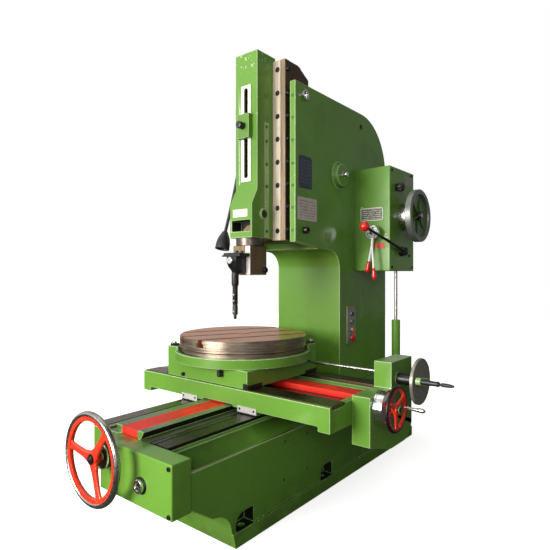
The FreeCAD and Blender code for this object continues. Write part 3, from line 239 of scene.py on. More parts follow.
def red_finish(name, red=RED, worn=0.3, gloss=0.24, coat=0.4):
    """Orange-red enamel or moulded red grips, a little chalky and chipped."""
    paint = Finish(name, Specular_IOR_Level=0.5, Coat_Weight=coat, Coat_Roughness=0.08)
    tone = paint.noise(8.0, 3.0)
    colour = paint.mix(tone.rise(0.35, 0.7), shade(red, 0.82), shade(red, 1.12))
    grime = paint.noise(26.0, 4.0, roughness=0.6).rise(0.55, 0.75)
    colour = paint.mix(grime * 0.35, colour, rgb(104, 30, 18))
    flakes = paint.noise(120.0, 3.0, roughness=0.7).rise(0.64, 0.67)
    colour = paint.mix(flakes * worn, colour, rgb(234, 190, 168))
    return paint.set(colour, gloss + grime * 0.2, height=paint.noise(90.0, 2.0), depth=0.0006,
                     strength=0.35)


def printed_plate(name, ground, ink, rows, low, high, axis, frame_width=0.08, fill=0.5):
    """A small chart plate: a plain field of short illegible dashes in rows inside a border."""
    plate = Finish(name, Specular_IOR_Level=0.5, Coat_Weight=0.2, Coat_Roughness=0.1)
    across = {"x": plate.x, "y": plate.y}[axis]
    u = (across - low[0] * MM) * (1 / ((high[0] - low[0]) * MM))
    v = (plate.z - low[1] * MM) * (1 / ((high[1] - low[1]) * MM))
    inside = (u > frame_width) * (u < 1 - frame_width) * (v > frame_width) * (v < 1 - frame_width)
    line = (v * rows).maths("FRACT", v * rows)
    dashes = plate.noise(330.0, 1.0, stretch=(1, 1, 0.4)) > 0.52 - 0.1 * fill
    marks = inside * dashes * (line > 0.38)
    smudge = plate.noise(30.0, 4.0).rise(0.35, 0.75)
    colour = plate.mix(marks * 0.85, ground, ink)
    colour = plate.mix(smudge * 0.18, colour, rgb(120, 112, 96))
    return plate.set(colour, 0.32 + smudge * 0.2, height=marks, depth=0.0001, strength=0.4)


def clean_finish(name, colour, rough=0.4, metal=0.0):
    """A small plain fitting, with dust in its tone."""
    plain = Finish(name, Specular_IOR_Level=0.5, Metallic=metal)
    dust = plain.noise(40.0, 4.0, roughness=0.6)
    tone = plain.mix(dust.rise(0.4, 0.8) * 0.4, colour, shade(colour, 0.6))
    return plain.set(tone, rough + dust * 0.12, height=dust, depth=0.0002, strength=0.3)


TABLE_CENTRE = (-91.0, -234.0)
GREEN_PAINT = enamel("green_enamel")
# Edge finish: a 12% lighter green with worn flakes; on the rounded edges of castings the lighter tone is a
# painted highlight.
GREEN_EDGE = enamel("green_enamel_edge", shade(GREEN, 1.12), worn=1.0)
STUD_PAINT = enamel("stud_enamel", shade(GREEN, 0.5))
FLANK_PAINT = enamel("flank_enamel", shade(GREEN, 1.2), worn=0.4)
BOX_PAINT = enamel("front_gearbox_enamel", runs=0.75)
RAM_PAINT = enamel("ram_enamel", chipped_from=1965)
# Darker enamel for the tray floor: oil, and painted shade.
TRAY_OIL_AND_SHADE_PAINT = enamel("tray_enamel_oil_and_painted_shade", shade(GREEN, 0.55), oily=0.3, gloss=0.16)
RIB_PAINT = enamel("rib_enamel", rgb(108, 122, 84), oily=0.35, gloss=0.28)
# Near-black oily enamel for troughs and recessed faces: oil, and painted shade.
OIL_AND_SHADE_BLACK = enamel("oily_black_painted_shade", rgb(10, 10, 8), oily=0.8, gloss=0.22)
WAY_STEEL = steel("way_steel", rgb(112, 104, 84), 0.2, 90.0, 0.5, rgb(44, 38, 26), along=(1, 0.04, 1))
# Darker way steel for the right outer way: oil, and a painted dark reflection.
OILY_DARK_REFLECTION_WAY_STEEL = steel("oily_way_steel_painted_reflection", rgb(52, 46, 34), 0.24, 90.0, 0.5, rgb(16, 14, 8), 0.7,
                       along=(1, 0.04, 1))
CROSS_WAY_STEEL = steel("cross_way_steel", rgb(112, 94, 72), 0.24, 90.0, 0.5, rgb(50, 40, 26),
                        along=(0.04, 1, 1))
LIP_STEEL = steel("lip_steel", rgb(150, 134, 112), 0.3, 90.0, 0.4, along=(1, 0.05, 1))
STRIP_STEEL = steel("strip_steel", rgb(206, 192, 170), 0.34, 70.0, 0.24, rgb(122, 100, 76), 0.35,
                    along=(1, 1, 0.05))
STRIP_EDGE_STEEL = steel("strip_edge_steel", rgb(158, 138, 114), 0.3, 70.0, 0.3, rgb(96, 76, 54), 0.45,
                         along=(1, 1, 0.05))
GUIDE_IRON = steel("guide_iron", rgb(84, 66, 48), 0.34, 60.0, 0.35, rgb(40, 30, 20), 0.55,
                   along=(1, 1, 0.1))
CHROME = steel("polished_chrome", rgb(226, 226, 224), 0.08, 200.0, 0.08, rgb(120, 110, 100))
COLLAR_STEEL = steel("collar_steel", rgb(104, 96, 88), 0.3, 130.0, 0.2, rgb(50, 42, 34))
RIM_STEEL = steel("rim_steel", rgb(176, 174, 168), 0.15, 120.0, 0.2, rgb(70, 62, 52))
TURNED_STEEL = steel("turned_steel", rgb(196, 192, 184), 0.22, 130.0, 0.18, rgb(92, 80, 66))
DISC_STEEL = steel("disc_steel", rgb(150, 146, 136), 0.26, 130.0, 0.2, rgb(92, 88, 80), 0.35)
TABLE_TOP_STEEL = steel("table_top_steel", rgb(222, 158, 116), 0.26, 40.0, 0.3, rgb(132, 82, 56),
                        spun={"x": TABLE_CENTRE[0], "y": TABLE_CENTRE[1]})
TABLE_SIDE_STEEL = steel("table_side_steel", rgb(168, 152, 134), 0.27, 200.0, 0.3, rgb(84, 64, 46),
                         along=(0.05, 0.05, 1))
CLAPPER_IRON = steel("clapper_iron", rgb(132, 110, 82), 0.36, 60.0, 0.3, rgb(74, 56, 38), 0.6,
                     along=(1, 1, 0.1))
DARK_IRON = black_finish("dark_iron", rgb(42, 38, 32), 0.4, 0.5)
BLACK_STEEL = black_finish("black_steel", rgb(20, 20, 20), 0.34, 0.3)
BLACK_PLASTIC = black_finish("black_plastic", rgb(24, 24, 26), 0.42, 0.0, 0.1)
# Flat black for the insides of pockets, grooves, undercuts, holes and openings: painted shade.
SHADE_BLACK = black_finish("painted_shade_black", rgb(8, 9, 6), 0.6, 0.0, 0.0)
WHEEL_RED = red_finish("wheel_red")
COVER_RED = red_finish("cover_red", rgb(238, 34, 10), 0.1, 0.5, 0.0)
GRIP_RED = red_finish("grip_red", rgb(216, 24, 26), 0.0, 0.16, 0.6)
PLATE_ALLOY = clean_finish("plate_alloy", rgb(196, 194, 188), 0.36, 0.35)
SLOT_PLATE = clean_finish("slot_plate_alloy", rgb(222, 214, 208), 0.4, 0.1)
PANEL_GREY = clean_finish("panel_grey", rgb(150, 152, 138), 0.36, 0.3)
LABEL_WHITE = clean_finish("label_white", rgb(238, 240, 234), 0.45)
NUMBER_WHITE = clean_finish("number_white", rgb(226, 230, 214), 0.5)
LABEL_RED = clean_finish("label_red", rgb(206, 70, 58), 0.45)
ORANGE_CAP = clean_finish("orange_cap", rgb(228, 140, 26), 0.3)
GREEN_CAP = clean_finish("green_cap", rgb(22, 92, 56), 0.3)
LAMP_GLASS = clean_finish("lamp_glass", rgb(232, 230, 220), 0.2)
GREY_WHEEL = steel("grey_wheel", rgb(136, 140, 132), 0.34, 90.0, 0.22, rgb(80, 78, 70), 0.7)
DISH_PAINT = enamel("dish_enamel", shade(GREEN, 0.42), oily=0.25, gloss=0.2)


class Shape:
    """A mesh in the making, in millimetres, with the number of a finish on each face."""

    def __init__(self):
        self.mesh = bmesh.new()
        self.finish = 0

    def skin(self, rings, joined=False):
        """Joins rows of points with faces; a row of one point closes an end, other ends are capped."""
        rows = [[self.mesh.verts.new(point) for point in ring] for ring in rings]
        pairs = list(zip(rows, rows[1:]))
        if joined:
            pairs.append((rows[-1], rows[0]))
        for first, second in pairs:
            count = max(len(first), len(second))
            for n in range(count):
                corners = [first[n % len(first)], first[(n + 1) % len(first)],
                           second[(n + 1) % len(second)], second[n % len(second)]]
                self.face(list(dict.fromkeys(corners)))
        if not joined:
            for row in (rows[0], rows[-1]):
                if len(row) > 2:
                    self.face(row)
        return self

    def face(self, corners):
        made = self.mesh.faces.new(corners)
        made.material_index = self.finish

    def spun(self, profile, place, axis=Z, steps=48, joined=False):
        """Turns a profile of (radius, distance along the axis[, sides]) round an axis."""
        axis = Vector(axis).normalized()
        side = axis.orthogonal().normalized()
        other = axis.cross(side)
        place = Vector(place)
        rings = []
        for radius, along, *sides in profile:
            if radius == 0:
                rings.append([place + axis * along])
                continue
            ring = []
            for n in range(steps):
                angle = math.tau * n / steps
                reach = radius
                if sides:
                    half = math.pi / sides[0]
                    reach = radius * math.cos(half) / math.cos(angle % (2 * half) - half)
                ring.append(place + axis * along
                            + (side * math.cos(angle) + other * math.sin(angle)) * reach)
            rings.append(ring)
        return self.skin(rings, joined)

    def box(self, x0, x1, y0, y1, z0, z1):
        return self.skin([[(x, y, z) for x, y in ((x0, y0), (x1, y0), (x1, y1), (x0, y1))] for z in (z0, z1)])

    def prism(self, outline, low, high, axis=Z):
        """A flat outline of points in the plane across an axis, from low to high along it."""
        right, up = [part for part in (X, Y, Z) if part != axis]
        return self.skin([[right * u + up * v + axis * w for u, v in outline] for w in (low, high)])

    def tube(self, points, radii, steps=16):
        """A round bar along a line of points, with a radius for each point."""
        points = [Vector(point) for point in points]
        side = (points[1] - points[0]).orthogonal().normalized()
        rings = []
        for n, (point, radius) in enumerate(zip(points, radii)):
            before, after = points[max(n - 1, 0)], points[min(n + 1, len(points) - 1)]
            along = (after - before).normalized()
            side = (side - along * side.dot(along)).normalized()
            other = along.cross(side)
            rings.append([point + (side * math.cos(a) + other * math.sin(a)) * radius
                          for a in (math.tau * k / steps for k in range(steps))])
        return self.skin(rings)

    def tick(self, foot, way, down, length, half=0.4):
        """A thin mark on a dial, from a foot downwards."""
        foot = Vector(foot)
        self.face([self.mesh.verts.new(foot + way * u + down * v)
                   for u, v in ((-half, 0), (half, 0), (half, length), (-half, length))])

    def screw(self, place, axis, radius=8.0, height=6.0):
        """A cap screw with a six-sided socket, standing on a face."""
        inner = radius * 0.52
        return self.spun([(radius, -0.5), (radius, height - radius * 0.12), (radius * 0.88, height),
                          (inner, height, 6), (inner, height * 0.35, 6), (0, height * 0.3)], place, axis, 24)

    def nut(self, place, axis, radius=12.0, height=10.0, hole=None):
        """A six-sided nut with chamfered corners, over the end of a stud."""
        hole = hole or radius * 0.5
        self.spun([(radius, -0.5, 6), (radius, height * 0.86, 6), (radius * 0.84, height), (hole, height)],
                  place, axis, 24)
        return self.spun([(hole * 0.94, -0.4), (hole * 0.94, height * 1.2), (hole * 0.7, height * 1.36),
                          (0, height * 1.36)], place, axis, 20)

    def made(self, name):
        """The finished mesh, in metres, with its normals outwards."""
        bmesh.ops.recalc_face_normals(self.mesh, faces=self.mesh.faces)
        bmesh.ops.scale(self.mesh, vec=(MM, MM, MM), verts=self.mesh.verts)
        mesh = bpy.data.meshes.new(name)
        self.mesh.to_mesh(mesh)
        self.mesh.free()
        return mesh


def added(name, data):
    """A new object in the scene."""
    made = bpy.data.objects.new(name, data)
    bpy.context.scene.collection.objects.link(made)
    return made


def piece(name, shape, body, slot, *finishes, replaces=(), bevel=0.0, segments=2, limit=38):
    """Makes a shape into an object that rides on a body."""
    return place_piece(name, shape.made(name), body, finishes, replaces, bevel, segments, limit)


def place_piece(name, mesh, body, finishes, replaces, bevel, segments, limit, worn_and_highlight_edge=False):
    made = added(name, mesh)
    for finish in finishes:
        mesh.materials.append(finish)
    mesh.shade_smooth()
    mesh.set_sharp_from_angle(angle=math.radians(limit))
    if bevel:
        edge = made.modifiers.new("rounded edges", "BEVEL")
        edge.width = bevel * MM
        edge.segments = segments
        edge.limit_method = "ANGLE"
        edge.angle_limit = math.radians(limit)
        edge.use_clamp_overlap = False
        edge.harden_normals = True
        if worn_and_highlight_edge:
            edge.material = len(finishes) - 1
    if replaces:
        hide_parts(*replaces)
    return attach(made, body)


def casting(node, name, body, slot, *finishes, edge=None, bevel=3.0, segments=3, limit=38, regions=(),
            trim=None):
    """A CAD node again, welded, with its edges rounded and other finishes on some of its faces.
    A region is a finish and a test of a face's centre, in millimetres, and its normal."""
    work = bmesh.new()
    work.from_mesh(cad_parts[node].data)
    bmesh.ops.remove_doubles(work, verts=work.verts, dist=2e-5)
    bmesh.ops.dissolve_limit(work, angle_limit=math.radians(0.7), verts=work.verts, edges=work.edges)
    if trim:
        for vertex in work.verts:
            vertex.co = trim(vertex.co / MM) * MM
    finishes = list(finishes) + [finish for finish, _ in regions] + ([edge] if edge else [])
    for face in work.faces:
        face.material_index = 0
        centre = face.calc_center_median() / MM
        for number, (_, test) in enumerate(regions):
            if test(centre, face.normal):
                face.material_index = len(finishes) - len(regions) - (1 if edge else 0) + number
    mesh = bpy.data.meshes.new(name)
    work.to_mesh(mesh)
    work.free()
    return place_piece(name, mesh, body, finishes, (node,), bevel, segments, limit, bool(edge))


SPOKE_STATIONS = (0, 0.12, 0.3, 0.6, 0.84, 0.95, 1.0)


def wheel_spokes(shape, centre, axis, angles, inner, outer, widths, thicks):
    """Flat spokes with round edges, flared where they meet the hub and the rim."""
    axis = Vector(axis)
    up = Z
    across = up.cross(axis).normalized()
    for degrees in angles:
        angle = math.radians(degrees)
        out = across * math.cos(angle) + up * math.sin(angle)
        side = axis.cross(out)
        rings = []
        for t, width, thick, forward in zip(SPOKE_STATIONS, *widths_and(widths, thicks)):
            middle = Vector(centre) + out * (inner + (outer - inner) * t) + axis * forward
            ring = []
            for k in range(20):
                a = math.tau * k / 20
                c, s = math.cos(a), math.sin(a)
                ring.append(middle + side * (width / 2 * math.copysign(abs(c) ** 0.6, c))
                            + axis * (thick / 2 * math.copysign(abs(s) ** 0.75, s)))
            rings.append(ring)
        shape.skin(rings)


def widths_and(widths, thicks):
    """Width, thickness and forward offset at each of the seven stations of a spoke."""
    (root, waist, rim), (thick_in, thick_out, dish) = widths, thicks
    wide = (root, root * 0.86, waist * 1.1, waist, waist * 1.05, (waist + rim) / 2, rim)
    thick = [thick_in + (thick_out - thick_in) * t for t in (0, 0.1, 0.3, 0.6, 0.85, 0.95, 1)]
    forward = [-dish * (1 - t) ** 1.5 for t in SPOKE_STATIONS]
    return wide, thick, forward


# The castings

def painted(node, name, body, paint=GREEN_PAINT, **settings):
    """A casting in green enamel whose rounded edges are lighter, with worn flakes and a painted highlight."""
    casting(node, name, body, "green_paint", paint, edge=GREEN_EDGE, **settings)


painted("bed", "bed_casting", "frame", regions=[
    # Pockets in the side wall, black inside as painted shade.
    (SHADE_BLACK, lambda c, n: 286 < c.x < 346.6 and 55 < c.z < 117),
    # The right trough between rib and way, black as painted shade and oil.
    (OIL_AND_SHADE_BLACK, lambda c, n: 66 < c.x < 132 and 385 < c.z < 420 and c.y < 188 and n.y > -0.5),
    # The tray floor, darker as painted shade and oil.
    (TRAY_OIL_AND_SHADE_PAINT, lambda c, n: 234 < c.x < 331 and 317 < c.z < 373 and n.z > 0.5),
    (LIP_STEEL, lambda c, n: 331 < c.x < 347.5 and c.z > 335 and n.z > 0.5),
    (RIB_PAINT, lambda c, n: -132 < c.x < 90 and c.z > 385 and n.z > 0.5 and c.y < 188),
    # The undersides of the left dovetail, black as painted shade.
    (SHADE_BLACK, lambda c, n: -90 < c.x < -66 and 385 < c.z < 420 and n.z < -0.2),
    # The flange top is near-black, a dark line along the foot of the side wall.
    (OIL_AND_SHADE_BLACK, lambda c, n: c.x > 346 and 40 < c.z < 58 and n.z > 0.5),
])
casting("bed_screw_cover", "long_screw_cover", "frame", "red_cover", COVER_RED, bevel=2.0)
painted("front_gearbox", "front_gearbox_casting", "frame", BOX_PAINT, bevel=3.5,
        regions=[(DARK_IRON, lambda c, n: c.y < -1056.5)],
        trim=lambda place: Vector((place.x, max(place.y, -1104), place.z)))
painted("column", "column_casting", "frame", bevel=4.0)
painted("feed_gearbox", "feed_gearbox_casting", "frame", bevel=1.5, segments=2)
casting("feed_shaft_cover", "feed_shaft_cover_tube", "frame", "green_paint", GREEN_PAINT, bevel=2.0)
casting("feed_shaft", "feed_shaft_rod", "frame", "bright_steel", TURNED_STEEL, bevel=0.5)
casting("ram_guide", "ram_guide_casting", "guide", "guide_iron", GUIDE_IRON, bevel=2.0)
painted("ram", "ram_casting", "ram", RAM_PAINT, bevel=3.5, regions=[
    # The insides of the nose window and the tool slot are black: painted shade.
    (SHADE_BLACK, lambda c, n: abs(c.x) < 59.5 and 1199 < c.z < 1253 and -351.5 < c.y < -270),
    (SHADE_BLACK, lambda c, n: abs(c.x) < 12.5 and 1457 < c.z < 1891 and -311.5 < c.y < -270),
])
casting("ram_slot_plates", "slot_plates", "ram", "bright_steel", SLOT_PLATE, bevel=0.8)
painted("ram_clamp_block", "clamp_block", "ram", bevel=2.5)
casting("tool_collar", "tool_collar_ring", "ram", "bright_steel", COLLAR_STEEL, bevel=1.5)
# Upward faces of the saddle below 486 mm are black: painted shade and oil.
painted("saddle", "saddle_casting", "saddle",
        regions=[(OIL_AND_SHADE_BLACK, lambda c, n: n.z > 0.5 and c.z < 486)])
casting("cross_ways", "cross_way_strips", "saddle", "way_steel", CROSS_WAY_STEEL, bevel=1.2)
casting("cross_screw_cover", "cross_cover", "saddle", "red_cover", COVER_RED, bevel=2.0)
painted("cross_feed_box", "cross_feed_casting", "saddle",
        regions=[(BLACK_STEEL, lambda c, n: c.x > 678)])
painted("carriage", "carriage_casting", "carriage")
painted("table_seat", "table_seat_ring", "carriage", bevel=3.5)
casting("table_shaft", "cross_table_shaft", "saddle", "bright_steel", CHROME, bevel=0.5)
casting("button_panel", "button_box", "frame", "panel_grey", PANEL_GREY, bevel=2.0)


def long_ways():
    """The ground ways, each with an oil groove, black as painted shade, between an inner strip and the worn
    outer one; on the right the inner strip is black (painted shade and oil) and the outer way darker (painted
    dark reflection and oil).
    """
    ways = Shape()
    for side in (-1, 1):
        for number, near, far, top in ((0, 164, 232.8, 398), (1, 158, 165, 393), (2, 131.2, 159, 397.4)):
            # Right outer way: darker, a painted dark reflection and oil; right inner strip: black, painted
            # shade and oil; left inner strip: rib paint; grooves: black, painted shade.
            ways.finish = {(1, 0): 4, (-1, 2): 3}.get((side, number), number)
            x0, x1 = sorted((side * near, side * far))
            ways.box(x0, x1, -972.8, 186.8, 386.2, top)
    piece("long_ways", ways, "frame", "way_steel", WAY_STEEL, SHADE_BLACK, OIL_AND_SHADE_BLACK, RIB_PAINT,
          OILY_DARK_REFLECTION_WAY_STEEL, replaces=["bed_ways"], bevel=1.0)


long_ways()


# The front handwheel: a polished rim over a red ring and three red spokes

WHEEL = Vector((2, -1122, 350))
FORWARD = -Y


def front_handwheel():
    wheel = Shape()
    rim = [(156 + 10.6 * math.cos(a), 11.6 * math.sin(a)) for a in (math.tau * k / 20 for k in range(20))]
    wheel.spun(rim, WHEEL, FORWARD, 120, joined=True)
    wheel.finish = 1
    ring = [(133, -5), (135, -7.6), (149, -8.4), (149, 8.4), (135, 7.6), (133, 5)]
    wheel.spun(ring, WHEEL, FORWARD, 96, joined=True)
    wheel_spokes(wheel, WHEEL, FORWARD, (50, 170, 290), 10, 140, (50, 27, 48), (17, 11, 6))
    wheel.spun([(0, -27), (23, -27), (24, -25), (26, 0), (23, 3), (0, 3)], WHEEL, FORWARD, 40)
    wheel.finish = 2
    wheel.spun([(19, 2.5), (19, 4.5), (0, 4.5)], WHEEL, FORWARD, 32)
    wheel.nut(WHEEL + FORWARD * 4, FORWARD, 16, 5.4, 8)
    piece("front_wheel", wheel, "bed_wheel", "wheel_red", RIM_STEEL, WHEEL_RED, BLACK_STEEL,
          replaces=["bed_handwheel"])


front_handwheel()


def crank_socket():
    """The chrome ring with a six-sided socket, on its black flange."""
    socket = Shape()
    place = (196, -1056, 289)
    socket.finish = 1
    socket.spun([(29, -1), (29, 3), (27, 5), (24, 5), (24, -1)], place, FORWARD, 48)
    socket.finish = 0
    socket.spun([(23.5, 0), (23.5, 14), (21, 16), (16, 16), (14.5, 14), (14.5, 2), (0, 2)],
                place, FORWARD, 48)
    socket.finish = 1
    socket.spun([(14.3, 2), (14.3, 5), (8, 5, 4), (8, 2.5, 4), (0, 2.5)], place, FORWARD, 48)
    piece("crank_socket_ring", socket, "frame", "bright_steel", CHROME, BLACK_STEEL,
          replaces=["crank_socket"])


crank_socket()


def rows_of_screws():
    """Screws on the fixed parts, the guide and the ram."""
    fixed = Shape()
    for z in (388 - 8, 228):
        fixed.screw((342, -1056, z), FORWARD, 7.5, 5)
    for y, z in ((-458, 306), (-465, 150), (-299, 300), (-299, 144)):
        fixed.spun([(5, -0.5), (5, 0.8), (3.4, 1.0), (0, 1.0)], (347, y, z), X, 16)
    piece("bed_screws", fixed, "frame", "black_steel", BLACK_STEEL)

    studs = Shape()
    for z in (1846, 1741, 1633, 1523, 1419, 1314, 1206):
        for x, y in ((-195, -158), (195, -200)):
            studs.spun([(7, -0.5), (7, 2.2), (5.4, 3.2), (2.6, 3.2), (2.2, 1.6), (0, 1.6)], (x, y, z),
                       FORWARD, 18)
    piece("cheek_studs", studs, "frame", "green_paint", STUD_PAINT)

    strip = Shape()
    for z in (1206, 1317, 1428, 1540, 1652, 1763, 1876, 1990):
        for x in (-103, 103):
            strip.spun([(13, -0.4), (13, 0.5), (12, 0.8), (11, 0.8), (0, 0.8)], (x, -200, z), FORWARD, 28)
            strip.screw((x, -200, z), FORWARD, 9.5, 2.8)
    for z in (1213, 1323, 1432, 1540, 1651, 1762, 1871, 1988):
        for side in (-1, 1):
            axis = X * side
            strip.spun([(10.5, -1), (10.5, 15), (9.2, 16.5), (4.8, 16.5, 6), (4.8, 10, 6), (0, 10)],
                       (side * 146, -182, z), axis, 24)
    piece("guide_screws", strip, "guide", "black_steel", BLACK_STEEL)


rows_of_screws()


def guide_strips():
    """The ground strips that hold the ram, each in two widths with a bright corner."""
    strips = Shape()
    for side in (-1, 1):
        for number, near, far, front in ((0, 70.8, 121, -200), (1, 123, 146, -198)):
            strips.finish = number
            x0, x1 = sorted((side * near, side * far))
            strips.box(x0, x1, front, -175, 1160, 2036)
    piece("ram_strips", strips, "guide", "bright_steel", STRIP_STEEL, STRIP_EDGE_STEEL,
          replaces=["guide_strips"], bevel=1.6)
    gibs = Shape()
    for side in (-1, 1):
        x0, x1 = sorted((side * 145.5, side * 150))
        gibs.box(x0, x1, -196, -166, 1162, 2034)
    gibs.box(-140, 140, -160, -60, 2030, 2035.5)
    piece("guide_gibs", gibs, "guide", "guide_iron", GUIDE_IRON, bevel=1.2)


guide_strips()


def ram_fittings():
    """The flank strips with painted screws, the side plug, the blank label and the clamp knob."""
    flank = Shape()
    for side in (-1, 1):
        x0, x1 = sorted((side * 69.5, side * 71.6))
        flank.box(x0, x1, -261, -228, 1172, 1728)
        for z in (1203, 1420, 1527, 1638, 1708):
            flank.spun([(8, 1.2), (8, 3.6), (6.4, 4.6), (3, 4.6), (2.4, 3.0), (0, 3.0)],
                       (side * 70, -245, z), X * side, 20)
    for face in flank.mesh.faces:
        face.material_index = 1 if len(face.verts) == 4 and abs(face.calc_center_median().x) < 71.7 else 0
    piece("ram_flank_strips", flank, "ram", "green_paint", STUD_PAINT, FLANK_PAINT, bevel=0.6)
    plug = Shape()
    plug.spun([(17.5, 9.7), (17.5, 11.2), (14, 12.4), (9.6, 12.4, 6), (9, 10.4, 6), (0, 10.4)],
              (70, -271, 1284), X, 32)
    piece("ram_side_plug", plug, "ram", "black_steel", BLACK_STEEL)
    label = Shape()
    label.box(-50, 42, -352.9, -351.6, 1268, 1304)
    piece("nose_label", label, "ram", "scale_plate", LABEL_WHITE, bevel=0.4)
    # A black sheet at the back of the window: painted shade; the clamp stands in front of it.
    inside = Shape()
    inside.box(-56, 56, -284, -282.4, 1201, 1251)
    inside.finish = 1
    inside.prism([(6, 1201), (56, 1201), (56, 1228), (34, 1226), (6, 1206)], -342, -290, Y)
    piece("ram_window_clamp", inside, "ram", "black_steel", SHADE_BLACK, CLAPPER_IRON, bevel=1.2)
    knob = Shape()
    lobes = [(17, 0), (17, 3), (13, 5), (12, 8), (16.5, 10), (17, 13), (17, 29), (15.5, 32), (11, 34),
             (0, 34)]
    knob.spun(lobes, (0, -338, 1704), FORWARD, 32)
    piece("clamp_lock_knob", knob, "ram", "black_plastic", BLACK_PLASTIC, replaces=["ram_clamp_knob"])


ram_fittings()


def tool_head():
    """Clapper box, tool holder and cutting bar."""
    clapper = Shape()
    clapper.box(-55, 55, -345, -226, 992, 1132)
    clapper.finish = 1
    clapper.spun([(14, -0.5), (14, 9), (12, 12), (6, 12, 6), (6, 7, 6), (0, 7)], (55, -240, 1016), X, 28)
    clapper.finish = 2
    clapper.box(24, 54, -345.8, -344.5, 994, 1130)
    piece("clapper", clapper, "ram", "guide_iron", CLAPPER_IRON, BLACK_STEEL, SLOT_PLATE,
          replaces=["clapper_box"], bevel=1.6)
    holder = Shape()
    outline = [(-52, 1078), (52, 1078), (52, 1092), (47, 1096), (-47, 1096), (-52, 1092)]
    holder.prism(outline, -417, -345, Y)
    body = [(-417, 1079), (-345, 1079), (-345, 1000), (-379, 1000), (-386, 1012), (-406, 1030), (-417, 1052)]
    holder.prism(body, -30, 30, X)
    holder.tube([(-40, -398, 1086), (-60, -398, 1084), (-78, -398, 1082)], [6, 5, 3.4], 12)
    holder.spun([(9, 0), (9, 9), (7, 11), (0, 11)], (0, -381, 1096), Z, 24)
    holder.spun([(8, 0), (8, 8), (4, 10), (0, 10)], (34, -381, 1095), Z, 24)
    piece("tool_holder_block", holder, "ram", "tool_steel", BLACK_STEEL, replaces=["tool_holder"],
          bevel=2.2)
    nut = Shape()
    nut.spun([(15, 0), (17, 1.5), (17, 8), (14, 10.5), (5, 10.5), (4, 9), (0, 9)],
             (-4, -416, 1060), FORWARD, 32)
    piece("holder_round_nut", nut, "ram", "bright_steel", CHROME)
    bar = Shape()
    bar.spun([(0, 786), (4.5, 786), (7, 790), (7, 805), (12.5, 808), (12.5, 846), (11.3, 848), (11.3, 856),
              (12.5, 858), (12.5, 938), (15, 944), (17, 950), (17, 1003), (0, 1003)], (0, -390, 0), Z, 32)
    bar.finish = 1
    for z in (822, 872, 900):
        bar.spun([(4, 11.6), (4, 13.2), (2, 13.6), (0, 13.6)], (0, -390, z), FORWARD, 14)
    piece("cutting_bar", bar, "ram", "tool_steel", DARK_IRON, TURNED_STEEL, replaces=["cutting_tool"])


tool_head()


def work_lamp():
    """A black hood on a ribbed neck, fixed to the left of the guide."""
    top, neck, end = Vector((-160, -190, 1560)), Vector((-160, -294, 1207)), Vector((-160, -316, 1121))
    lamp = Shape()
    points, radii = [], []
    count = 150
    for n in range(count + 1):
        t = n / count
        points.append(top.lerp(neck, t) + Vector((0, 5 * math.sin(math.pi * t), 0)))
        radii.append(7.6 + 1.1 * (n % 2))
    lamp.tube(points, radii, 14)
    along = (end - neck).normalized()
    reach = (end - neck).length
    lamp.spun([(9, -6), (15, 0), (17, 6), (21, 14), (30, 34), (35, 58), (36, reach - 2), (36, reach),
               (33.5, reach), (33, reach - 6), (27, 34), (12, 16), (0, 14)], neck, along, 40)
    lamp.finish = 1
    lamp.spun([(0, 18), (12, 20), (17, 36), (19, 52), (15, 66), (0, 72)], neck, along, 24)
    lamp.finish = 0
    lamp.box(-168, -145, -206, -168, 1538, 1582)
    lamp.screw((-168, -178, 1570), -X, 5, 4)
    lamp.screw((-168, -178, 1550), -X, 5, 4)
    piece("lamp", lamp, "guide", "black_plastic", BLACK_PLASTIC, LAMP_GLASS, replaces=["work_lamp"],
          bevel=0.0)


work_lamp()


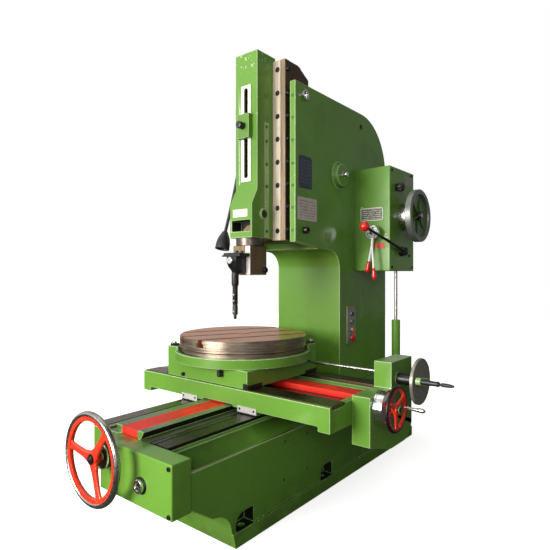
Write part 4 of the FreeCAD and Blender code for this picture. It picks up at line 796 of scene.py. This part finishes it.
def column_fittings():
    """Pivot pins, locks, side boss, plates and the covered holes on the column."""
    pins = Shape()
    locks = Shape()
    for side in (-1, 1):
        axis = X * side
        place = (side * 210, -128, 1864)
        pins.spun([(27, -0.5), (27, 11), (24, 14), (15, 14), (13, 12), (13, 2), (0, 2)], place, axis, 40)
        locks.spun([(16, -0.5), (16, 22), (13, 26), (8, 26, 6), (8, 15, 6), (0, 15)],
                   (side * 210, -128, 1209), axis, 30)
    piece("pivot_collars", pins, "frame", "bright_steel", CHROME, replaces=["pivot_pins"])
    piece("tilt_lock_screws", locks, "frame", "black_steel", BLACK_STEEL, replaces=["tilt_locks"])
    pin = Shape()
    pin.spun([(20, -1), (20, 4), (15, 6), (15, 20), (12, 28), (6, 30), (0, 30)], (236, 196, 1524), X, 36)
    piece("side_boss_pin", pin, "frame", "bright_steel", CHROME, replaces=["boss_pin"])
    covers = Shape()
    covers.spun([(27, -0.5), (27, 1.2), (25, 2), (0, 2)], (210, 85, 1187), X, 36)
    covers.spun([(20, -0.5), (20, 1.6), (17, 2.6), (14, 2.6)], (210, 435, 1841), X, 32, joined=True)
    piece("column_plugs", covers, "frame", "green_paint", GREEN_PAINT)
    # The lifting hole is a flat black disc: painted shade.
    hole = Shape()
    hole.spun([(14, -0.2), (14, 1.0), (0, 1.0)], (210, 435, 1841), X, 28)
    piece("lifting_hole", hole, "frame", "green_paint", SHADE_BLACK)
    rivets = Shape()
    for name, ground, ink, rows, fill, (y0, y1, z0, z1) in (
            ("navy_plate", rgb(28, 38, 62), rgb(64, 78, 104), 9, 0.5, (-173, -63, 1412, 1569)),
            ("speed_chart", rgb(206, 196, 186), rgb(150, 120, 112), 8, 0.3, (-181, -19, 1257, 1368))):
        shown = printed_plate(name + "_print", ground, ink, rows, (y0, z0), (y1, z1), "y", fill=fill)
        piece(name, Shape().box(209.6, 211.4, y0, y1, z0, z1), "frame", "scale_plate", shown, bevel=0.6)
        for y in (y0 + 5, y1 - 5):
            for z in (z0 + 5, z1 - 5):
                rivets.spun([(2.4, 1), (2.2, 2.2), (0, 3)], (210, y, z), X, 12)
    piece("plate_rivets", rivets, "frame", "bright_steel", TURNED_STEEL)


column_fittings()


def button_set():
    """The push buttons on the column, each in its bezel."""
    buttons = Shape()
    for z, radius, cap in ((644, 24, 3), (688, 15, 2), (732, 15, 1), (776, 15, 0)):
        place = (220, 315, z)
        buttons.finish = 4
        ring = min(radius, 17)
        buttons.spun([(ring, -0.5), (ring, 4), (ring - 2.5, 6), (ring - 4, 6), (ring - 4, 2), (0, 2)], place,
                     X, 32)
        buttons.finish = cap
        if radius > 20:
            buttons.spun([(11, 2), (11, 8), (22, 9), (24, 11), (23.5, 14), (18, 16), (0, 16)], place, X, 36)
        else:
            buttons.spun([(9.5, 2), (9.5, 10), (8.4, 11.5), (0, 12)], place, X, 28)
    piece("push_buttons", buttons, "frame", "button_red", BLACK_PLASTIC, GREEN_CAP, ORANGE_CAP, GRIP_RED,
          CHROME, replaces=["buttons"])
    screws = Shape()
    for y in (276, 354):
        for z in (620, 807):
            screws.screw((220, y, z), X, 3.6, 2.4)
    piece("button_box_screws", screws, "frame", "black_steel", BLACK_STEEL)


button_set()


# The feed gearbox and what hangs on it

def feed_wheel():
    """A grey rim round a dark green dish, with a black bore."""
    wheel = Shape()
    place = (490, 545, 1318)
    wheel.spun([(112, 12), (112, 4), (118, 0), (142, 0), (145, 2.5), (145, 31.5), (142.5, 34), (119, 34),
                (117, 32), (115, 24)], place, X, 120, joined=True)
    wheel.finish = 1
    wheel.spun([(24, 3), (116, 6), (116.5, 25), (110, 20), (70, 15), (40, 15), (24, 17)], place, X, 96,
               joined=True)
    for n in range(6):
        angle = math.tau * (n + 0.3) / 6
        out = Vector((0, math.cos(angle), math.sin(angle)))
        side = X.cross(out)
        rings = []
        for reach, wide, high in ((28, 7, 28), (60, 5, 21), (114, 5, 24)):
            middle = Vector(place) + out * reach
            rings.append([middle + side * wide + X * 13, middle + side * wide * 0.6 + X * high,
                          middle - side * wide * 0.6 + X * high, middle - side * wide + X * 13])
        wheel.skin(rings)
    wheel.finish = 2
    wheel.spun([(14.2, 3), (27, 3), (27, 30), (25, 33.5), (16, 33.5), (14.2, 30)], place, X, 40, joined=True)
    piece("hand_turning_wheel", wheel, "feed_wheel", "wheel_iron", GREY_WHEEL, DISH_PAINT, BLACK_STEEL,
          replaces=["feed_wheel"])
    drum = Shape()
    drum.spun([(0, -1), (78, -1), (78, 14), (74, 16), (74, 24), (78, 26), (78, 58), (75, 62), (40, 62),
               (15, 63), (14, 64), (14, 106), (12, 108), (0, 108)], (422, 545, 1318), X, 80)
    piece("drive_drum", drum, "frame", "bright_steel", TURNED_STEEL, replaces=["feed_drum"])


feed_wheel()


def selector_knob():
    """A black knob with finger grips, and its pointer stub."""
    knob = Shape()
    rings = []
    for along, radius, lobe in ((-0.5, 20, 0), (8, 20, 0), (10, 23, 1.6), (16, 24.4, 2.2), (32, 24.4, 2.2),
                                (40, 21, 1.4), (44, 14, 0)):
        rings.append([Vector((422 + along, 452, 1472))
                      + (Y * math.cos(a) + Z * math.sin(a)) * (radius + lobe * math.cos(6 * a) - lobe * 0.3)
                      for a in (math.tau * k / 60 for k in range(60))])
    knob.skin(rings)
    piece("speed_selector", knob, "frame", "black_plastic", BLACK_PLASTIC, replaces=["selector_knob"])


selector_knob()


def clutch():
    """The long black lever with its red ball, on a collared shaft."""
    rise = math.radians(12.4)
    hub = Vector((448, 508, 1122))
    out = Vector((0, -math.cos(rise), math.sin(rise)))
    lever = Shape()
    lever.spun([(14.2, -11), (22, -11), (22, 9), (20, 11), (16, 11), (14.2, 9)], hub, X, 36, joined=True)
    lever.tube([hub + out * 16, hub + out * 30, hub + out * 60, hub + out * 400, hub + out * 448,
                hub + out * 460], [11, 10, 8, 7.2, 7.2, 5], 20)
    piece("clutch_rod", lever, "clutch", "black_steel", BLACK_STEEL, replaces=["clutch_lever"])
    ball = Shape()
    centre = hub + out * 480
    profile = [(0, -24)] + [(24 * math.sin(math.pi * k / 20), -24 * math.cos(math.pi * k / 20))
                            for k in range(1, 20)] + [(0, 24)]
    profile[-2] = (9, 22.6)
    ball.spun(profile, centre, -out, 40)
    piece("clutch_ball_grip", ball, "clutch", "red_plastic", GRIP_RED, replaces=["clutch_ball"])
    shaft = Shape()
    shaft.spun([(0, -1), (28, -1), (28, 10), (25, 14), (14, 14), (14, 38), (12, 40.5), (0, 40.5)],
               (422, 508, 1122), X, 40)
    shaft.nut((458, 508, 1122), X, 12, 3.6)
    piece("clutch_pivot", shaft, "frame", "black_steel", BLACK_STEEL, replaces=["clutch_shaft"])


clutch()

GEAR = (341, 1220)


def gear_levers():
    """A bright dial and two hanging levers with red grips."""
    dial = Shape()
    place = (GEAR[0], 326, GEAR[1])
    dial.spun([(0, -43), (14, -43), (14, 0), (38, 0), (40, 2), (40, 7.5), (37, 10), (0, 10)],
              place, FORWARD, 60)
    dial.finish = 1
    for n in range(3):
        angle = math.radians(75 + 120 * n)
        centre = (GEAR[0] + 26 * math.cos(angle), 316, GEAR[1] + 26 * math.sin(angle))
        dial.screw(centre, FORWARD, 5, 1.6)
    dial.spun([(13, -0.5), (13, 1.2), (11, 1.8), (0, 1.8)], (GEAR[0], 316, GEAR[1]), FORWARD, 30)
    piece("gear_dial_cap", dial, "frame", "bright_steel", CHROME, BLACK_STEEL, replaces=["gear_dial"])
    for name, hub_y, grip_y, length, lean in (("inner", 361, 345, 158, -11.4), ("outer", 343, 310, 193, 4.4)):
        tilt = math.radians(lean)
        down = Vector((math.sin(tilt), 0, -math.cos(tilt)))
        hub = Vector((GEAR[0], hub_y, GEAR[1]))
        end = hub + down * length + Y * (grip_y - hub_y)
        rod = Shape()
        rod.spun([(14.2, -8), (22, -8), (22, 6), (20.5, 8), (14.2, 8)], hub, FORWARD, 36, joined=True)
        bend = hub + down * 34 + Y * (grip_y - hub_y) * 0.75
        rod.tube([hub + down * 16, hub + down * 24 + Y * (grip_y - hub_y) * 0.3, bend,
                  hub + down * 60 + Y * (grip_y - hub_y), end + down * 4], [7, 6.4, 6, 6, 6], 18)
        piece("gear_rod_" + name, rod, "gear_lever_" + name, "bright_steel", LABEL_WHITE,
              replaces=["gear_lever_" + name])
        grip = Shape()
        grip.spun([(0, 0), (8, 0), (9.5, 3), (10.5, 20), (13, 42), (12.4, 54), (8, 60), (0, 60)],
                  end, down, 30)
        piece("gear_handle_" + name, grip, "gear_lever_" + name, "red_plastic", GRIP_RED,
              replaces=["gear_grip_" + name])


gear_levers()

SEGMENTS = {"1": "bc", "2": "abged", "3": "abgcd", "4": "fgbc", "5": "afgcd", "6": "afgedc", "7": "abc",
            "8": "abcdefg", "9": "abcdfg", "0": "abcdef"}


def numeral(shape, digit, x, z, y, tall):
    """A dial number from straight strokes, facing the front."""
    wide, stroke = tall * 0.5, tall * 0.15
    bars = {"a": (0, 1, 1, 1), "d": (0, 0, 1, 0), "g": (0, 0.5, 1, 0.5), "f": (0, 0.5, 0, 1),
            "b": (1, 0.5, 1, 1), "e": (0, 0, 0, 0.5), "c": (1, 0, 1, 0.5)}
    for letter in SEGMENTS[digit]:
        u0, v0, u1, v1 = bars[letter]
        shape.box(x + u0 * wide - stroke / 2, x + u1 * wide + stroke / 2, y, y + 0.8,
                  z + v0 * tall - stroke / 2, z + v1 * tall + stroke / 2)


def feed_gearbox_plates():
    """The blank chart, the dial numbers, the small labels and the screws of the feed gearbox."""
    chart = Shape()
    chart.box(248, 379, 368.6, 370.4, 1292, 1357)
    chart_print = printed_plate("feed_chart_print", rgb(30, 30, 28), rgb(196, 190, 172), 6, (248, 1292),
                                (379, 1357), "x", 0.04, 1.0)
    piece("feed_chart", chart, "frame", "scale_plate", chart_print, bevel=0.5)
    border = Shape()
    for x0, x1, z0, z1 in ((246, 381, 1289, 1293), (246, 381, 1356, 1360), (246, 250, 1289, 1360),
                           (377, 381, 1289, 1360)):
        border.box(x0, x1, 368.2, 370.3, z0, z1)
    numeral(border, "1", 352, 1184, 369.3, 15)
    for n, digit in enumerate("138"):
        numeral(border, digit, 372 + 15 * n, 1184, 369.3, 15)
    for x, z in ((246, 1360), (392, 1206)):
        border.box(x, x + 14, 369.3, 370.2, z + 4, z + 7)
    piece("feed_numbers", border, "frame", "scale_plate", NUMBER_WHITE)
    red = Shape()
    red.box(330, 392, 369, 370.3, 1136, 1166)
    piece("feed_red_label", red, "frame", "scale_plate", LABEL_RED, bevel=0.3)
    side = Shape()
    side.box(421.6, 423.4, 520, 578, 1098, 1142)
    side_print = printed_plate("feed_side_print", rgb(18, 20, 18), rgb(150, 156, 150), 3, (520, 1098),
                               (578, 1142), "y", 0.12)
    piece("feed_side_plate", side, "frame", "scale_plate", side_print, bevel=0.4)
    blank = Shape()
    blank.box(421.6, 423, 566, 662, 1500, 1552)
    piece("feed_blank_plate", blank, "frame", "scale_plate", PANEL_GREY, bevel=0.4)
    screws = Shape()
    for y, z in ((394, 1560), (654, 1566), (394, 1034), (664, 1034), (650, 1470), (620, 1100)):
        screws.screw((422, y, z), X, 7.5, 5)
    piece("feed_gearbox_screws", screws, "frame", "black_steel", BLACK_STEEL)


feed_gearbox_plates()


# The saddle, the carriage and the table

def wipers():
    """Alloy wiper plates with a felt edge and two dark screws each."""
    plates = Shape()
    for centre in (-182, 182):
        plates.finish = 0
        plates.box(centre - 54, centre + 54, -513, -508, 404, 430.5)
        plates.finish = 1
        plates.box(centre - 54, centre + 54, -511.5, -508, 398.7, 404)
        for x in (centre - 40, centre + 40):
            plates.spun([(5, -0.5), (5, 0.8), (3, 1), (0, 0.4)], (x, -513, 418), FORWARD, 18)
    piece("wiper_plates", plates, "saddle", "wiper_alloy", PLATE_ALLOY, BLACK_STEEL, replaces=["way_wipers"],
          bevel=0.5)
    corner = Shape()
    corner.finish = 1
    corner.box(173, 177.5, -499, -404, 500.2, 516)
    corner.box(173, 176.5, -499, -404, 499.4, 501)
    for y in (-488, -418):
        corner.spun([(4, -0.5), (4, 1), (0, 1)], (177.5, y, 508), X, 14)
    corner.box(-359.5, -355, -499, -404, 500.2, 516)
    corner.box(173, 177.5, -66, 30, 500.2, 516)
    corner.box(-359.5, -355, -66, 30, 500.2, 516)
    corner.box(152, 173, -503, -499, 500.5, 524)
    piece("carriage_wipers", corner, "carriage", "wiper_alloy", PLATE_ALLOY, BLACK_STEEL, bevel=0.5)


wipers()


def carriage_fittings():
    """Gib screw and oil plug in the front of the carriage, and the two table clamps."""
    gibs = Shape()
    gibs.spun([(7, -1), (7, 12), (5.6, 14), (0, 14)], (-236, -499, 516), FORWARD, 20)
    gibs.nut((-236, -499, 516), FORWARD, 10, 6, 6.6)
    gibs.spun([(0, 0), (9, 0), (9, 13), (12.5, 14), (12.5, 35), (10, 38), (0, 38)], (20, -512, 577), -Z, 28)
    piece("carriage_gib_screws", gibs, "carriage", "black_steel", BLACK_STEEL)
    clamps = Shape()
    for x, y in ((-334, -478), (152, 10)):
        inward = Vector((TABLE_CENTRE[0] - x, TABLE_CENTRE[1] - y, 0)).normalized()
        clamps.finish = 1
        side = Z.cross(inward)
        strap = [Vector((x, y, 0)) + inward * a + side * b
                 for a, b in ((-16, -12), (18, -12), (26, -7), (26, 7), (18, 12), (-16, 12))]
        clamps.skin([[(p.x, p.y, z) for p in strap] for z in (642, 652)])
        clamps.finish = 0
        clamps.nut((x, y, 652), Z, 13, 9, 7.5)
    piece("table_clamp_bolts", clamps, "carriage", "black_steel", CHROME, BLACK_STEEL,
          replaces=["table_clamps"], bevel=0.8)


carriage_fittings()


def cut(shape_piece, cutter):
    """Cuts a shape out of a piece, for good."""
    tool = added("cutter", cutter.made("cutter"))
    taking = shape_piece.modifiers.new("cut", "BOOLEAN")
    taking.object = tool
    taking.solver = "EXACT"
    taking.operation = "DIFFERENCE"
    view = bpy.context.evaluated_depsgraph_get()
    result = bpy.data.meshes.new_from_object(shape_piece.evaluated_get(view))
    shape_piece.modifiers.clear()
    shape_piece.data = result
    bpy.data.objects.remove(tool)


def rotary_table():
    """The round table: ground top, turned side with two fine grooves, T-slots and a centre bore."""
    table = Shape()
    cx, cy = TABLE_CENTRE
    table.finish = 1
    table.spun([(0, 606.4), (306, 606.4), (309, 608), (309, 637), (312, 640), (315, 643), (315, 651),
                (313.4, 652.4), (313.4, 654.6), (315, 656), (315, 661), (313.6, 662.4), (313.6, 664.4),
                (315, 665.6), (315, 694.5), (312.5, 697.2)], (cx, cy, 0), Z, 180)
    for face in list(table.mesh.faces):
        if face.calc_center_median().z > 697 and face.normal.z != 0 and len(face.verts) > 8:
            table.mesh.faces.remove(face)
    table.finish = 0
    edge = [vertex for vertex in table.mesh.verts if vertex.co.z > 697]
    edge.sort(key=lambda v: math.atan2(v.co.y - cy, v.co.x - cx))
    inner = [table.mesh.verts.new((cx + (v.co.x - cx) * 0.9968, cy + (v.co.y - cy) * 0.9968, 698))
             for v in edge]
    for n in range(len(edge)):
        m = (n + 1) % len(edge)
        table.face([edge[n], edge[m], inner[m], inner[n]])
    table.face(inner)
    made = piece("round_table", table, "table", "table_steel", TABLE_TOP_STEEL, TABLE_SIDE_STEEL,
                 replaces=["rotary_table"])
    slots = Shape()
    turn = math.radians(65)
    along, side = Vector((math.cos(turn), math.sin(turn), 0)), Vector((-math.sin(turn), math.cos(turn), 0))
    centre = Vector((cx, cy, 0))
    for offset in (-150, 0, 150):
        section = [(-11, 700), (11, 700), (11, 680), (19, 680), (19, 662.2), (-19, 662.2), (-19, 680),
                   (-11, 680)]
        slots.skin([[centre + side * (offset + u) + along * reach + Z * z for u, z in section]
                    for reach in (-325, 325)])
    cut(made, slots)
    bore = Shape()
    bore.spun([(0, 661), (30, 661), (30, 695), (34, 699.5), (0, 699.5)], (cx, cy, 0), Z, 64)
    cut(made, bore)
    made.data.shade_smooth()
    made.data.set_sharp_from_angle(angle=math.radians(30))

    ring = Shape()
    ring.spun([(309.2, 612), (311, 613), (311, 633), (309.2, 634)], (cx, cy, 0), Z, 180, joined=True)
    ring.finish = 1
    for degree in range(360):
        angle = math.radians(degree)
        tall = 16 if degree % 10 == 0 else 11 if degree % 5 == 0 else 7
        out = Vector((math.cos(angle), math.sin(angle), 0))
        ring.tick(centre + out * 311.02 + Z * 632, Z.cross(out), -Z, tall, 0.35)
    piece("table_degree_ring", ring, "table", "table_steel", TABLE_SIDE_STEEL, BLACK_STEEL)


rotary_table()


# The cross feed and the dividing disc

HUB = Vector((747, -260, 466))
DIAL = Vector((677, -260, 466))


def cross_handwheel():
    wheel = Shape()
    rim = [(86.5 + 6.4 * math.cos(a), 6.4 * math.sin(a)) for a in (math.tau * k / 16 for k in range(16))]
    wheel.spun(rim, HUB, X, 90, joined=True)
    wheel.finish = 1
    wheel.spun([(74, -4), (76, -6), (82, -6), (82, 6.6), (76, 6.4), (74, 4)], HUB, X, 80, joined=True)
    wheel_spokes(wheel, HUB, X, (270, 30, 150), 12, 78, (30, 18, 30), (13, 8, 3))
    wheel.spun([(14.2, -14), (20, -14), (20, 8), (18, 10), (14.2, 10)], HUB, X, 36, joined=True)
    wheel.finish = 2
    wheel.spun([(13, 8), (13, 13), (11, 14), (0, 14)], HUB, X, 30)
    piece("cross_wheel_rim", wheel, "cross_wheel", "wheel_red", BLACK_STEEL, WHEEL_RED, CHROME,
          replaces=["cross_handwheel"])
    handle = Shape()
    drop = math.radians(8)
    foot = (747, -260 + 78 * math.cos(drop), 466 - 78 * math.sin(drop))
    handle.spun([(0, 0), (6, 0), (6, 9), (8.6, 11), (7, 20), (6.6, 34), (8.4, 60), (9, 74), (7, 83), (3, 86),
                 (0, 86)], foot, X, 30)
    piece("cross_wheel_handle", handle, "cross_wheel", "bright_steel", CHROME, replaces=["cross_handle"])
    dial = Shape()
    dial.spun([(14.2, 0), (70, 0), (72, 2), (72, 8), (69, 10), (69, 14), (72, 16), (72, 40), (66, 44),
               (14.2, 44)], DIAL, X, 96, joined=True)
    dial.finish = 1
    for n in range(100):
        angle = math.tau * n / 100
        out = Vector((0, math.cos(angle), math.sin(angle)))
        dial.tick(DIAL + X * 39 + out * 72.05, X.cross(out), -X, 15 if n % 10 == 0 else 9)
    piece("cross_dial_collar", dial, "saddle", "bright_steel", CHROME, BLACK_STEEL, replaces=["cross_dial"])


cross_handwheel()


def dividing_disc():
    """The index disc with its circles of holes, and the crank that turns in front of it."""
    disc = Shape()
    place = Vector((769, -95, 551))
    disc.spun([(14.2, 0), (94, 0), (96, 2), (96, 12), (94, 14), (14.2, 14)], place, X, 96, joined=True)
    disc.finish = 1
    # Each hole is a flat black disc on the face: painted shade.
    for radius, count in ((86, 54), (78, 47), (70, 41), (62, 36), (54, 30), (46, 24)):
        for n in range(count):
            angle = math.tau * n / count
            hole = place + X * 14.05 + (Y * math.cos(angle) + Z * math.sin(angle)) * radius
            disc.face([disc.mesh.verts.new(hole + (Y * math.cos(a) + Z * math.sin(a)) * 1.7)
                       for a in (math.tau * k / 8 for k in range(8))])
    piece("dividing_disc_plate", disc, "saddle", "bright_steel", DISC_STEEL, SHADE_BLACK,
          replaces=["index_plate"])
    centre = Vector((0, -95, 551))
    tilt = math.radians(12)
    out = Vector((0, -math.cos(tilt), math.sin(tilt)))
    side = X.cross(out)
    arm = Shape()
    rings = []
    for x in (789, 811):
        ring = []
        for a in range(13):
            angle = math.radians(-90 + 15 * a)
            ring.append(centre + X * x + out * (72 + 15 * math.cos(angle)) + side * 15 * math.sin(angle))
        for a in range(13):
            angle = math.radians(90 + 15 * a)
            ring.append(centre + X * x + out * 16 * math.cos(angle) + side * 16.4 * math.sin(angle))
        rings.append(ring)
    arm.skin(rings)
    piece("index_arm", arm, "index_crank", "green_paint", GREEN_EDGE, bevel=2.0)
    block = Shape()
    block.skin([[centre + X * x + out * u + side * v for u, v in ((-17, -17), (17, -17), (17, 17), (-17, 17))]
                for x in (790, 810.6)])
    block.finish = 1
    block.spun([(9, -0.5), (9, 4.4), (7.6, 5.6), (0, 5.6)], centre + X * 810, X, 24)
    piece("index_hub_block", block, "index_crank", "green_paint", GREEN_EDGE, CHROME,
          replaces=["index_crank"], bevel=1.6)
    grip = Shape()
    foot = centre + X * 811 + out * 80
    grip.spun([(0, -2), (7, -2), (7, 4), (10.4, 7), (11, 30), (9.4, 56), (10.6, 70), (8, 75), (5, 77),
               (5, 80), (7.4, 84), (8, 100), (6.6, 120), (4, 131), (0, 132)], foot, X, 30)
    piece("index_grip", grip, "index_crank", "black_plastic", BLACK_PLASTIC, replaces=["index_handle"])


dividing_disc()


# The studio: the camera that was found from the straight edges of the machine, in metres and degrees

SENSOR = 36.0
PICTURE_PIXELS = 550
FOCAL_PIXELS = 482
HORIZON_PIXELS = 2.6
EYE = (1.559, -2.038, 1.0045)
HEADING = 38.689


def studio():
    """A plain pale floor, a pale surround, one broad light from the front, three weak ones, the camera."""
    floor = Shape()
    floor.skin([[(9000 * math.cos(a), 9000 * math.sin(a), z) for a in (math.tau * k / 64 for k in range(64))]
                for z in (-20, 0)])
    ground = Finish("pale_floor", Specular_IOR_Level=0.0, Roughness=0.9, Emission_Strength=0.72)
    seen = ground.node("ShaderNodeLightPath", {}, {}, "Is Camera Ray")
    ground.set(ground.mix(seen, rgb(84, 84, 80), rgb(246, 246, 244)))
    ground.feed(ground.shader.inputs["Emission Color"], ground.mix(seen, (0, 0, 0, 1), (1, 1, 1, 1)))
    made = added("floor", floor.made("floor"))
    made.data.materials.append(ground.material)

    world = bpy.data.worlds.new("studio")
    bpy.context.scene.world = world
    world.use_nodes = True
    air = Nodes(world.node_tree)
    way = air.node("ShaderNodeTexCoord", {}, {}, "Generated")
    across, deep, high = air.axes(way)
    left, front = across.rise(0.35, -0.65), deep.rise(0.35, -0.65)
    glow = 0.26 + left * 0.3 + front * 0.25 + left * front * 0.35 - high.rise(0.2, 1.0) * 0.22
    seen = air.node("ShaderNodeLightPath", {}, {}, "Is Camera Ray")
    strength = glow * (1 - seen) + seen
    background = world.node_tree.nodes["Background"]
    background.inputs["Color"].default_value = (1, 1, 1, 1)
    air.feed(background.inputs["Strength"], strength)

    for name, place, aim, size, power, tint in (
            ("window light", (-0.9, -5.8, 1.8), (0.0, -0.2, 0.9), (2.2, 2.2), 370.0, (1.0, 0.985, 0.95)),
            ("low light", (-0.5, -3.7, 0.3), (0.1, -0.9, 0.25), (1.8, 0.4), 16.0, (1.0, 1.0, 1.0)),
            ("strip light", (2.7, -3.7, 1.9), (0.0, -0.2, 0.8), (0.5, 1.8), 34.0, (1.0, 1.0, 1.0)),
            ("top light", (-1.0, -0.6, 4.6), (0.0, -0.2, 0.6), (3.0, 3.0), 25.0, (1.0, 1.0, 1.0))):
        lamp = bpy.data.lights.new(name, "AREA")
        lamp.shape = "RECTANGLE"
        lamp.size, lamp.size_y = size
        lamp.energy = power
        lamp.color = tint
        holder = added(name, lamp)
        holder.location = place
        holder.rotation_euler = (Vector(aim) - Vector(place)).to_track_quat("-Z", "Y").to_euler()

    lens = bpy.data.cameras.new("camera")
    lens.sensor_width = SENSOR
    lens.lens = SENSOR * FOCAL_PIXELS / PICTURE_PIXELS
    lens.shift_y = -HORIZON_PIXELS / PICTURE_PIXELS
    camera = added("camera", lens)
    camera.location = EYE
    camera.rotation_euler = (math.radians(90), 0, math.radians(HEADING))
    bpy.context.scene.camera = camera
    bpy.context.scene.view_settings.view_transform = "Standard"


studio()
